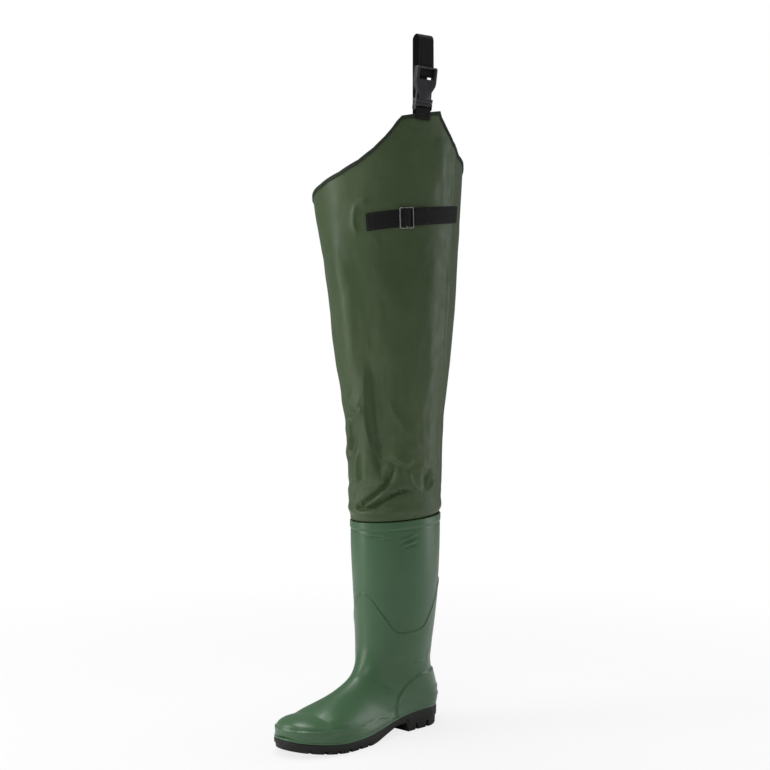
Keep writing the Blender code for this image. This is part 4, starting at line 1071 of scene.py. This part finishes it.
def leg_point(turn, height, out=0):
    """Points of the leg's plain form at turns and heights, moved out by a distance."""
    turn, height = np.broadcast_arrays(np.asarray(turn, float), np.asarray(height, float))
    share = (height - BOOT_HEIGHT) / (HIP_HEIGHT - BOOT_HEIGHT)
    depth, width, lean = (np.interp(share, leg_levels, leg_table[:, column]) for column in (1, 2, 3))
    depth = depth * THIGH_DEPTH
    width = width * THIGH_WIDTH
    way = np.stack([np.cos(turn) * depth, -np.sin(turn) * width], -1)
    way = way / np.linalg.norm(way, axis=-1, keepdims=True)
    along = SHAFT_CENTRE + lean * THIGH_DEPTH + depth * np.sin(turn)
    return np.stack([
        width * np.cos(turn) + way[..., 0] * out,
        HEEL_TO_ORIGIN - along + way[..., 1] * out,
        height,
    ], -1)


def leg_reach(height):
    """How far the leg's wall is from its middle, round about, at heights."""
    return np.interp(height, (0.33, 0.50, 0.90), (0.064, 0.085, 0.106))


def degrees_round(turn):
    """Turns as degrees from -70 to 290, so that the seam and the strap lie in one run."""
    return np.degrees(np.mod(turn + radians(70), 2 * pi)) - 70


def fold_lift(fold, turn, height):
    """How far one fold stands out, laid flat about the middle of its line."""
    middle_turn = (fold.line[0][0] + fold.line[-1][0]) / 2
    reach = leg_reach(sum(point[1] for point in fold.line) / len(fold.line))
    sweep = (np.mod(turn - radians(middle_turn) + pi, 2 * pi) - pi) * reach
    flat = [(radians(point[0] - middle_turn) * reach, point[1]) for point in fold.line]
    nearest = np.full(turn.shape, 1e9)
    side = np.zeros(turn.shape)
    run_out = np.zeros(turn.shape)
    done = 0
    for start, end in zip(flat, flat[1:]):
        run = (end[0] - start[0], end[1] - start[1])
        length = np.hypot(*run)
        part = np.clip(((sweep - start[0]) * run[0] + (height - start[1]) * run[1]) / length ** 2, 0, 1)
        aside = (sweep - start[0] - run[0] * part, height - start[1] - run[1] * part)
        gap = np.hypot(*aside)
        closer = gap < nearest
        nearest = np.where(closer, gap, nearest)
        side = np.where(closer, run[1] * aside[0] - run[0] * aside[1], side)
        run_out = np.where(closer, done + length * part, run_out)
        done += length
    width = np.where(side > 0, fold.above, fold.below)
    body = np.exp(-(nearest / width) ** fold.sharp)
    from_end = np.minimum(run_out, done - run_out)
    return fold.depth * body * smooth((from_end + 0.25 * fold.fade) / fold.fade)


def leg_folds(turn, height):
    """How far the folds and the seam stand out from the leg's plain form."""
    turn, height = np.broadcast_arrays(np.asarray(turn, float), np.asarray(height, float))
    bend = degrees_round(turn)
    lift = sum(fold_lift(fold, turn, height) for fold in FOLDS)
    seam = np.interp(height, [row[0] for row in SEAM], [row[1] for row in SEAM])
    from_seam = np.abs(np.radians(bend - seam)) * leg_reach(height)
    lift = lift + SEAM_STEP * smooth((SEAM_WIDTH / 2 - from_seam) / SEAM_EDGE)
    from_strap = np.abs(height - strap_height(np.radians(bend)))
    at_strap = 1 - smooth((from_strap - STRAP_CALM) / STRAP_FADE)
    at_strap = at_strap * smooth((degrees(STRAP_FRONT_TURN) + 3 - bend) / 3)
    at_strap = at_strap * smooth((bend - degrees(STRAP_BACK_TURN) + 3) / 3)
    at_tab = smooth((TAB_SPREAD - np.abs(bend - TAB_TURN)) / 4) * smooth((height - TAB_FOOT) / 0.008)
    calm = 1 - np.maximum(at_strap, TAB_CALM * at_tab)
    above_rim = height - RIM_TOP + RIM_FALL * np.sin(turn)
    spill = smooth((above_rim - SPILL_START) / SPILL_RISE)
    spill = spill * (1 - smooth((above_rim - SPILL_TOP) / SPILL_FADE)) * (0.70 + 0.30 * np.sin(turn))
    return lift * calm * smooth(above_rim / SETTLED) + SPILL * spill - 0.0001 * at_strap


fine = np.arange(FINE_TURNS[0], FINE_TURNS[1], FINE_STEP)
coarse = np.arange(FINE_TURNS[1], FINE_TURNS[0] + 360, COARSE_STEP)
leg_turns = list(np.mod(np.concatenate([fine, coarse]), 360))
for corner in (row[0] % 360 for row in TOP_EDGE):
    leg_turns = [turn for turn in leg_turns if abs(turn - corner) > 0.5] + [corner]
leg_turns = np.radians(sorted(leg_turns))
leg_edge = top_edge(leg_turns)
leg_shares = np.concatenate([
    [0, 0.02], np.linspace(0.035, 0.22, 88), np.linspace(0.22, 0.40, 54)[1:], np.linspace(0.40, 1, 90)[1:],
])
low = BOOT_HEIGHT - LEG_LAP
leg_heights = low + leg_shares[:, None] * (leg_edge - low)[None, :]
leg_lift = leg_folds(leg_turns[None, :], leg_heights)
crumple = np.array([
    [
        noise.noise(Vector((np.cos(turn) * 3.2, np.sin(turn) * 3.2, height * 16)))
        + 0.6 * noise.noise(Vector((np.cos(turn) * 7.5, np.sin(turn) * 7.5, height * 34 + 5)))
        for turn, height in zip(leg_turns, row)
    ]
    for row in leg_heights
])
calmer = smooth((leg_heights - 0.335) / 0.03) * (0.90 + 0.10 * smooth((0.60 - leg_heights) / 0.15))
from_strap = np.abs(leg_heights - strap_height(np.radians(degrees_round(leg_turns)))[None, :])
off_strap = smooth((from_strap - STRAP_CALM) / (2 * STRAP_FADE))
off_edge = smooth((leg_edge[None, :] - leg_heights) / 0.05)
leg_lift = leg_lift + CRUMPLE * crumple * calmer * off_strap * off_edge
leg_outer = leg_point(leg_turns[None, :], leg_heights, leg_lift)
leg_inner = leg_point(leg_turns[None, :], leg_heights, leg_lift - LEG_WALL)
leg_rings = np.concatenate([leg_outer, leg_inner[::-LINING_RINGS]])

cloth, tree, shader = start_material("leg_cloth")
tone = noise_value(tree, 6.0, 3.0)
mottle = noise_value(tree, 55.0, 5.0)
soft_waves = noise_value(tree, 22.0)
coat_grain = noise_value(tree, 1300.0)
colour_by(tree, shader, tone, (
    (0.3, (0.049, 0.078, 0.032)),
    (0.5, (0.062, 0.094, 0.041)),
    (0.7, (0.078, 0.111, 0.052)),
))
roughness_by(tree, shader, mottle, 0.36, 0.50, 0.3, 0.7)
relief_by(tree, shader, (soft_waves, 0.7, 0.0024), (coat_grain, 0.12, 0.0001))
set_inputs(shader, {"Specular IOR Level": 0.28})
leg_mesh = rings_mesh("leg_cloth", leg_rings, wrap=True)
add_piece("leg_cloth", leg_mesh, cloth, "leg", sharp=70)


# The binding: a green tape folded over the leg's raw top edge and stitched down, a little proud of the
# cloth on both sides. Its colour is painted far darker than the cloth's, as painted shade along the top edge.
BINDING_WALL = 0.001
BINDING_HEIGHT = 0.0045
BINDING_SECTION = (
    (GAP, -BINDING_HEIGHT),
    (GAP + 0.0007, -BINDING_HEIGHT),
    (GAP + BINDING_WALL, -BINDING_HEIGHT + 0.0006),
    (GAP + BINDING_WALL, -0.0030),
    (GAP + BINDING_WALL, 0.0002),
    (GAP + 0.0006, 0.0011),
    (-LEG_WALL / 2, GAP + BINDING_WALL),
    (-LEG_WALL - GAP - 0.0006, 0.0011),
    (-LEG_WALL - GAP - BINDING_WALL, 0.0002),
    (-LEG_WALL - GAP - BINDING_WALL, -BINDING_HEIGHT),
    (-LEG_WALL - GAP, -BINDING_HEIGHT),
    (-LEG_WALL - GAP, GAP),
    (GAP, GAP),
)
tape, tree, shader = start_material("binding_tape")
weft = add_node(tree, "UVMap").outputs["UV"]
threads = add_node(tree, "TexWave", {"Vector": weft, "Scale": 320.0, "Distortion": 0.3}).outputs["Fac"]
# Painted shade: the tape's dark green stands for the shade along the leg's top edge, not the tape's own
# colour
colour_by(tree, shader, threads, ((0.0, (0.014, 0.022, 0.012)), (1.0, (0.027, 0.040, 0.021))))
relief_by(tree, shader, (threads, 0.5, 0.0002))
set_inputs(shader, {"Roughness": 0.7, "Specular IOR Level": 0.3})

binding_turns = np.radians(sorted(
    set(np.round(np.arange(0, 360, 1.5), 3)) | {round(row[0] % 360, 3) for row in TOP_EDGE}
))
binding_rings = []
for turn in binding_turns:
    edge = float(top_edge(turn))
    ring = []
    for out, rise in BINDING_SECTION:
        below = edge + min(rise, 0)
        point = leg_point(turn, below, float(leg_folds(turn, below)) + out)
        ring.append((point[0], point[1], edge + rise))
    binding_rings.append(ring)
binding_mesh = rings_mesh("edge_binding", binding_rings, wrap=True)
add_piece("edge_binding", binding_mesh, tape, "top_binding", sharp=50)


# The webbing: black ribbed polypropylene, 25 mm wide. One length makes the belt loop, one the short
# tab that holds the plug, and one goes round the thigh through the slider.
WEBBING_WIDTH = 0.025
WEBBING_THICKNESS = 0.0015
STRAP_WALL = GAP + WEBBING_THICKNESS / 2
PLY = WEBBING_THICKNESS + GAP
BELT_TURN = radians(16)
BELT_LOOP_RISE = 0.0476
BELT_LOOP_DEPTH = 0.016
BELT_LAP = 0.026
TAB_LAP = 0.009
TAB_RISE = 0.0068
OUTER_PLY = BINDING_WALL + 3 * GAP + WEBBING_THICKNESS / 2
INNER_PLY = -LEG_WALL - OUTER_PLY
BELT_PLY = INNER_PLY - PLY
TAB_BAR_OUT = (OUTER_PLY + INNER_PLY) / 2
TAB_BAR = 0.0034
PLUG_LENGTH = 0.0103
SOCKET_LENGTH = 0.050
SOCKET_START = PLUG_LENGTH - TAB_BAR / 2 + GAP
SOCKET_END = SOCKET_START + SOCKET_LENGTH
STRAP_BAR = 0.0027
STRAP_BAR_DROP = 0.011
STRAP_BAR_PLACE = SOCKET_END - STRAP_BAR_DROP
FRONT_BAR_BACK = 0.0012
BELT_LEVEL = FRONT_BAR_BACK - STRAP_WALL
BELT_BEND = STRAP_BAR / 2 + STRAP_WALL
SLIDER_TURN = radians(28)
SLIDER_LENGTH = 0.022
SLIDER_WIRE = 0.0019
SLIDER_PLAY = 0.0010
TAIL_TURN = radians(9)
BELT_STEP = 0.004
TAB_STEP = 0.003

webbing, tree, shader = start_material("webbing")
weft = add_node(tree, "UVMap").outputs["UV"]
weave = add_node(tree, "TexBrick", {
    "Vector": weft, "Scale": 1.0, "Mortar Size": 0.0001, "Mortar Smooth": 1.0,
    "Brick Width": 0.0016, "Row Height": 0.0013, "Color1": (0.007, 0.007, 0.007, 1),
    "Color2": (0.011, 0.011, 0.011, 1), "Mortar": (0.004, 0.004, 0.004, 1),
})
tree.links.new(weave.outputs["Color"], shader.inputs["Base Color"])
relief_by(tree, shader, (weave.outputs["Fac"], 0.7, 0.0002), invert=True)
set_inputs(shader, {"Roughness": 0.75, "Specular IOR Level": 0.25})

# Section of the webbing: across over half its width, out over half its thickness
WEBBING_SECTION = (
    (-1.00, -0.45), (-1.00, 0.45), (-0.96, 1.00), (-0.60, 1.00), (-0.20, 1.00), (0.20, 1.00), (0.60, 1.00),
    (0.96, 1.00), (1.00, 0.45), (1.00, -0.45), (0.96, -1.00), (0.60, -1.00), (0.20, -1.00), (-0.20, -1.00),
    (-0.60, -1.00), (-0.96, -1.00),
)


def webbing_piece(name, edges, node):
    """A length of webbing between pairs of points on its two edges."""
    left = np.array([pair[0] for pair in edges], float)
    right = np.array([pair[1] for pair in edges], float)
    middle = (left + right) / 2
    across = right - left
    across /= np.linalg.norm(across, axis=1, keepdims=True)
    ahead = np.gradient(middle, axis=0)
    out = np.cross(across, ahead)
    out /= np.linalg.norm(out, axis=1, keepdims=True)
    rings = [
        [centre + side * a * WEBBING_WIDTH / 2 + up * o * WEBBING_THICKNESS / 2 for a, o in WEBBING_SECTION]
        for centre, side, up in zip(middle, across, out)
    ]
    add_piece(name, rings_mesh(name, rings), webbing, node, sharp=50)


def tab_frame(height):
    """A point on the flat of the hip tab, and the ways across and out of it."""
    half = WEBBING_WIDTH / THIGH_WIDTH
    back, front = (Vector(leg_point(turn, height)) for turn in (BELT_TURN - half, BELT_TURN + half))
    across = (back - front).normalized()
    out = across.cross(Vector((0, 0, 1))).normalized()
    return (back + front) / 2, across, -out if out.x < 0 else out


belt_edge = float(top_edge(BELT_TURN))
tab_middle, tab_across, tab_out = tab_frame(belt_edge)
upright = Vector((0, 0, 1))
buckle_start = tab_middle + tab_out * TAB_BAR_OUT + upright * TAB_RISE
lean = (BELT_PLY + BELT_LOOP_DEPTH - TAB_BAR_OUT) / SOCKET_END
buckle_up = (upright * (1 - lean * lean) ** 0.5 + tab_out * lean).normalized()
buckle_out = buckle_up.cross(tab_across).normalized()
if buckle_out.dot(tab_out) < 0:
    buckle_out = -buckle_out


def buckle_point(across, out, up):
    return buckle_start + tab_across * across + buckle_out * out + buckle_up * up


def half_turn(centre, radius, way_a, way_b, steps):
    turns = np.linspace(0, pi, steps)
    return [centre + (way_a * np.cos(turn) + way_b * np.sin(turn)) * radius for turn in turns]


def spaced(points, step):
    """Points at even steps along straight parts."""
    result = [points[0]]
    for start, end in zip(points, points[1:]):
        count = max(1, round((end - start).length / step))
        result += [start + (end - start) * (index + 1) / count for index in range(count)]
    return result


def straight_webbing(name, path, node):
    half = tab_across * WEBBING_WIDTH / 2
    webbing_piece(name, [(point - half, point + half) for point in path], node)


radius = BELT_LOOP_DEPTH / 2
loop_middle = tab_middle + tab_out * (BELT_PLY + radius)
loop_top = buckle_point(0, 0, SOCKET_END).z + BELT_LOOP_RISE
loop_middle += upright * (loop_top - WEBBING_THICKNESS / 2 - radius - belt_edge)
lap_end = tab_frame(belt_edge - BELT_LAP)[0] - tab_out * (LEG_WALL + STRAP_WALL + PLY / 2)
lap_bend = tab_frame(belt_edge - TAB_LAP - PLY)[0] + tab_out * BELT_PLY
tab_edge = tab_middle + tab_out * BELT_PLY
belt_path = spaced([lap_end, lap_bend, tab_edge, loop_middle - tab_out * radius], BELT_STEP)
belt_path += half_turn(loop_middle, radius, -tab_out, upright, 17)[1:]
belt_path += spaced([belt_path[-1], buckle_point(0, BELT_LEVEL, SOCKET_END + 0.001)], BELT_STEP)[1:]
bar_middle = buckle_point(0, BELT_LEVEL - BELT_BEND, STRAP_BAR_PLACE)
belt_path += half_turn(bar_middle, BELT_BEND, buckle_out, -buckle_up, 11)
belt_path += [buckle_point(0, BELT_LEVEL - 2 * BELT_BEND, STRAP_BAR_PLACE + STRAP_BAR_DROP)]
straight_webbing("belt_loop", belt_path, "belt_strap")

tab_bar = tab_middle + tab_out * TAB_BAR_OUT + upright * TAB_RISE
tab_low = tab_frame(belt_edge - TAB_LAP)[0]
tab_path = spaced([tab_low + tab_out * OUTER_PLY, tab_middle + tab_out * OUTER_PLY], TAB_STEP)
tab_path += half_turn(tab_bar, (OUTER_PLY - INNER_PLY) / 2, tab_out, upright, 13)
tab_path += spaced([tab_middle + tab_out * INNER_PLY, tab_low + tab_out * INNER_PLY], TAB_STEP)
straight_webbing("plug_loop", tab_path, "plug_tab")


def strap_edges(turn, out):
    height = strap_height(turn)
    half = WEBBING_WIDTH / 2
    return leg_point(turn, height - half, out), leg_point(turn, height + half, out)


slider_height = strap_height(SLIDER_TURN)
slider_middle = Vector(leg_point(SLIDER_TURN, slider_height))
over, under = (Vector(leg_point(SLIDER_TURN, slider_height + step)) for step in (0.01, -0.01))
slider_up = (over - under).normalized()
before, behind = (Vector(leg_point(SLIDER_TURN + step, slider_height)) for step in (0.05, -0.05))
slider_ahead = before - behind
per_turn = slider_ahead.length / 0.1
slider_ahead = (slider_ahead - slider_up * slider_ahead.dot(slider_up)).normalized()
slider_out = slider_ahead.cross(slider_up).normalized()
if slider_out.x < 0:
    slider_out = -slider_out
slider_lift = WEBBING_THICKNESS + 2 * GAP + SLIDER_WIRE / 2

# The strap's way up to the slider's middle, which its way down mirrors: forward over the bars'
# spacing, out over its rise
FORWARD_HALF = (
    (1.25, 0.0),
    (1.10, 0.0),
    (0.92, 0.01),
    (0.74, 0.07),
    (0.58, 0.30),
    (0.44, 0.62),
    (0.30, 0.86),
    (0.16, 0.98),
)
THREAD = (*FORWARD_HALF, (0.0, 1.0), *((-forward, out) for forward, out in reversed(FORWARD_HALF)))
spacing = (SLIDER_LENGTH - SLIDER_WIRE) / 2
rise = slider_lift + SLIDER_WIRE / 2
threaded = [(SLIDER_TURN + forward * spacing / per_turn, STRAP_WALL + out * rise) for forward, out in THREAD]
strap_stations = [(turn, STRAP_WALL) for turn in np.linspace(STRAP_FRONT_TURN, threaded[0][0], 24)[:-1]]
strap_stations += threaded
strap_stations += [(turn, STRAP_WALL) for turn in np.linspace(threaded[-1][0], STRAP_BACK_TURN, 52)[1:]]
webbing_piece("thigh_webbing", [strap_edges(turn, out) for turn, out in strap_stations], "thigh_strap")
tail_start = SLIDER_TURN - (SLIDER_LENGTH / 2 + PLY) / per_turn
tail_turns = np.linspace(tail_start, TAIL_TURN, 16)
tail_edges = [strap_edges(turn, STRAP_WALL + PLY) for turn in tail_turns]
webbing_piece("thigh_webbing_end", tail_edges, "thigh_strap_tail")


# The stitches: short runs of thick black thread that fasten the ends of the webbing, each stitch a
# small rounded bead that sinks at both ends.
STITCH_LENGTH = 0.0022
STITCH_PITCH = 0.0030
STITCH_THICKNESS = 0.0007
THREAD_PROUD = 0.0001

thread, tree, shader = start_material("thread")
twist = noise_value(tree, 1500.0)
colour_by(tree, shader, twist, ((0.3, (0.018, 0.018, 0.018)), (0.7, (0.040, 0.040, 0.040))))
set_inputs(shader, {"Roughness": 0.6})


def stitch_tree():
    """A tree that lays stitches along the edges of a mesh."""
    group = bpy.data.node_groups.new("stitches", "GeometryNodeTree")
    group.interface.new_socket("Geometry", in_out="INPUT", socket_type="NodeSocketGeometry")
    for name, value in (("Pitch", STITCH_PITCH), ("Length", STITCH_LENGTH), ("Thickness", STITCH_THICKNESS)):
        group.interface.new_socket(name, in_out="INPUT", socket_type="NodeSocketFloat").default_value = value
    group.interface.new_socket("Geometry", in_out="OUTPUT", socket_type="NodeSocketGeometry")

    def node(kind, **settings):
        made = group.nodes.new(kind)
        for setting, value in settings.items():
            setattr(made, setting, value)
        return made

    given = node("NodeGroupInput")
    curve = node("GeometryNodeMeshToCurve")
    evenly = node("GeometryNodeResampleCurve", mode="LENGTH")
    bead = node("GeometryNodeMeshIcoSphere")
    size = node("ShaderNodeCombineXYZ")
    shaped = node("GeometryNodeTransform")
    place_each = node("GeometryNodeInstanceOnPoints")
    tangent = node("GeometryNodeInputTangent")
    turned = node("FunctionNodeAlignRotationToVector", axis="Z")
    real = node("GeometryNodeRealizeInstances")
    coloured = node("GeometryNodeSetMaterial")
    coloured.inputs["Material"].default_value = thread
    result = node("NodeGroupOutput")
    bead.inputs["Radius"].default_value = 0.5
    bead.inputs["Subdivisions"].default_value = 2
    for start, end in (
        (given.outputs["Geometry"], curve.inputs["Mesh"]),
        (curve.outputs["Curve"], evenly.inputs["Curve"]),
        (given.outputs["Pitch"], evenly.inputs["Length"]),
        (given.outputs["Thickness"], size.inputs["X"]),
        (given.outputs["Thickness"], size.inputs["Y"]),
        (given.outputs["Length"], size.inputs["Z"]),
        (size.outputs["Vector"], shaped.inputs["Scale"]),
        (bead.outputs["Mesh"], shaped.inputs["Geometry"]),
        (evenly.outputs["Curve"], place_each.inputs["Points"]),
        (shaped.outputs["Geometry"], place_each.inputs["Instance"]),
        (tangent.outputs["Tangent"], turned.inputs["Vector"]),
        (turned.outputs["Rotation"], place_each.inputs["Rotation"]),
        (place_each.outputs["Instances"], real.inputs["Geometry"]),
        (real.outputs["Geometry"], coloured.inputs["Geometry"]),
        (coloured.outputs["Geometry"], result.inputs["Geometry"]),
    ):
        group.links.new(start, end)
    return group


stitches_group = stitch_tree()


def stitch_lines(name, lines):
    """Stitches along lines of points, as one piece."""
    points = []
    edges = []
    for line in lines:
        first = len(points)
        points += [tuple(point) for point in line]
        edges += [(first + index, first + index + 1) for index in range(len(line) - 1)]
    path = bpy.data.meshes.new(name + "_path")
    path.from_pydata(points, edges, [])
    carrier = bpy.data.objects.new(name + "_path", path)
    bpy.context.scene.collection.objects.link(carrier)
    modifier = carrier.modifiers.new("stitches", "NODES")
    modifier.node_group = stitches_group
    for socket in stitches_group.interface.items_tree:
        if socket.in_out == "INPUT" and socket.name == "Pitch":
            modifier[socket.identifier] = STITCH_PITCH
    made = bpy.data.meshes.new_from_object(carrier.evaluated_get(bpy.context.evaluated_depsgraph_get()))
    bpy.data.objects.remove(carrier)
    made.name = name
    add_piece(name, made, thread, None, sharp=60)


# Boxes of stitches at the ends of the thigh strap: turns of their sides, and how far they stand out
face = STRAP_WALL + WEBBING_THICKNESS / 2 + THREAD_PROUD
STRAP_BOXES = (
    (STRAP_FRONT_TURN - 0.022, STRAP_FRONT_TURN - 0.085, face),
    (STRAP_BACK_TURN + 0.022, STRAP_BACK_TURN + 0.085, face),
    (TAIL_TURN + 0.018, TAIL_TURN + 0.050, face + PLY),
)
BOX_SHARE = 0.8
lines = []
for first_turn, last_turn, out in STRAP_BOXES:
    corners = [
        (first_turn, -BOX_SHARE), (last_turn, -BOX_SHARE), (last_turn, BOX_SHARE), (first_turn, BOX_SHARE),
        (first_turn, -BOX_SHARE),
    ]
    for start, end in zip(corners, corners[1:]):
        lines.append([
            leg_point(turn, strap_height(turn) + share * WEBBING_WIDTH / 2, out)
            for turn, share in np.linspace(start, end, 8)
        ])
stitch_lines("strap_stitches", lines)

# Rows of stitches on the hip tab: how far below its edge, how far out, and half of their width over
# the webbing's. Two hold the plug's tab, and the two below them the belt loop's end inside.
tab_face = OUTER_PLY + WEBBING_THICKNESS / 2 + THREAD_PROUD
TAB_ROWS = (
    (0.0020, tab_face, 0.42),
    (0.0065, tab_face, 0.42),
    (0.0135, 0.0002, 0.40),
    (0.0225, 0.0002, 0.40),
)
lines = []
for drop, out, reach in TAB_ROWS:
    middle = tab_frame(belt_edge - drop)[0] + tab_out * out
    lines.append([middle + tab_across * WEBBING_WIDTH * share for share in np.linspace(-reach, reach, 6)])
stitch_lines("tab_stitches", lines)

binding_line = [
    leg_point(turn, float(top_edge(turn)) - BINDING_HEIGHT, GAP + BINDING_WALL + THREAD_PROUD)
    for turn in np.radians(np.arange(0, 360.1, 1.0))
]
stitch_lines("binding_stitches", [binding_line])


# The buckle: a side release buckle of dark grey acetal in two mouldings. The socket holds the belt on
# a bar, and the plug's two prongs show in the notches at its sides.
SOCKET_ROUND = 0.0005
PLUG_ROUND = 0.0004

acetal, tree, shader = start_material("buckle_acetal")
spark = noise_value(tree, 1800.0)
rubbed = noise_value(tree, 60.0, 4.0)
colour_by(tree, shader, rubbed, ((0.3, (0.026, 0.026, 0.029)), (0.7, (0.038, 0.038, 0.042))))
roughness_by(tree, shader, rubbed, 0.34, 0.48)
relief_by(tree, shader, (spark, 0.15, 0.0001))


def moulded_shell(node, name, width):
    """A copy of one of the buckle's solids with its edges rounded."""
    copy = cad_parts[node].data.copy()
    shape = bmesh.new()
    shape.from_mesh(copy)
    bmesh.ops.remove_doubles(shape, verts=shape.verts, dist=1e-6)
    bmesh.ops.dissolve_limit(shape, angle_limit=radians(1), verts=shape.verts, edges=shape.edges)
    shape.to_mesh(copy)
    shape.free()
    copy.materials.clear()
    carrier = bpy.data.objects.new(name + "_plain", copy)
    bpy.context.scene.collection.objects.link(carrier)
    bevel = carrier.modifiers.new("edges", "BEVEL")
    bevel.width = width
    bevel.segments = 2
    bevel.limit_method = "ANGLE"
    bevel.angle_limit = radians(35)
    bevel.harden_normals = True
    made = bpy.data.meshes.new_from_object(carrier.evaluated_get(bpy.context.evaluated_depsgraph_get()))
    bpy.data.objects.remove(carrier)
    made.name = name
    add_piece(name, made, acetal, node, sharp=35)


moulded_shell("buckle_socket", "buckle_socket_shell", SOCKET_ROUND)
moulded_shell("buckle_plug", "buckle_plug_shell", PLUG_ROUND)


# The slider: a ring of nickel plated wire with a bar across its middle, which the thigh strap runs
# under, over and under.
nickel, tree, shader = start_material("slider_nickel")
tarnish = noise_value(tree, 300.0, 4.0)
roughness_by(tree, shader, tarnish, 0.16, 0.32)
set_inputs(shader, {"Base Color": (0.30, 0.30, 0.29, 1), "Metallic": 1})


def wire_rings(path, closed):
    """Rings of points round a wire that follows a path."""
    rings = []
    count = len(path)
    for index, point in enumerate(path):
        before = path[index - 1] if closed or index else path[0]
        after = path[(index + 1) % count] if closed or index < count - 1 else path[-1]
        ahead = (after - before).normalized()
        side = ahead.cross(slider_out).normalized()
        rings.append([
            point + (side * np.cos(turn) + slider_out * np.sin(turn)) * SLIDER_WIRE / 2
            for turn in np.linspace(0, 2 * pi, 17)[:-1]
        ])
    return rings


wire_centre = slider_middle + slider_out * slider_lift
half_length = (SLIDER_LENGTH - SLIDER_WIRE) / 2
half_height = WEBBING_WIDTH / 2 + SLIDER_PLAY + SLIDER_WIRE / 2
corner = SLIDER_WIRE
wire_path = []
for quarter, (side, end) in enumerate(((1, 1), (-1, 1), (-1, -1), (1, -1))):
    for turn in np.radians(90 * quarter + np.linspace(0, 90, 8)):
        wire_path.append(
            wire_centre
            + slider_ahead * (side * (half_length - corner) + corner * np.cos(turn))
            + slider_up * (end * (half_height - corner) + corner * np.sin(turn))
        )
ring_mesh = rings_mesh("slider_ring", wire_rings(wire_path, True), wrap=True)
add_piece("slider_ring", ring_mesh, nickel, "strap_slider", sharp=60)
bar_path = [wire_centre + slider_up * half_height * share for share in np.linspace(-1, 1, 5)]
bar_mesh = rings_mesh("slider_bar", wire_rings(bar_path, False))
add_piece("slider_bar", bar_mesh, nickel, None, sharp=60)
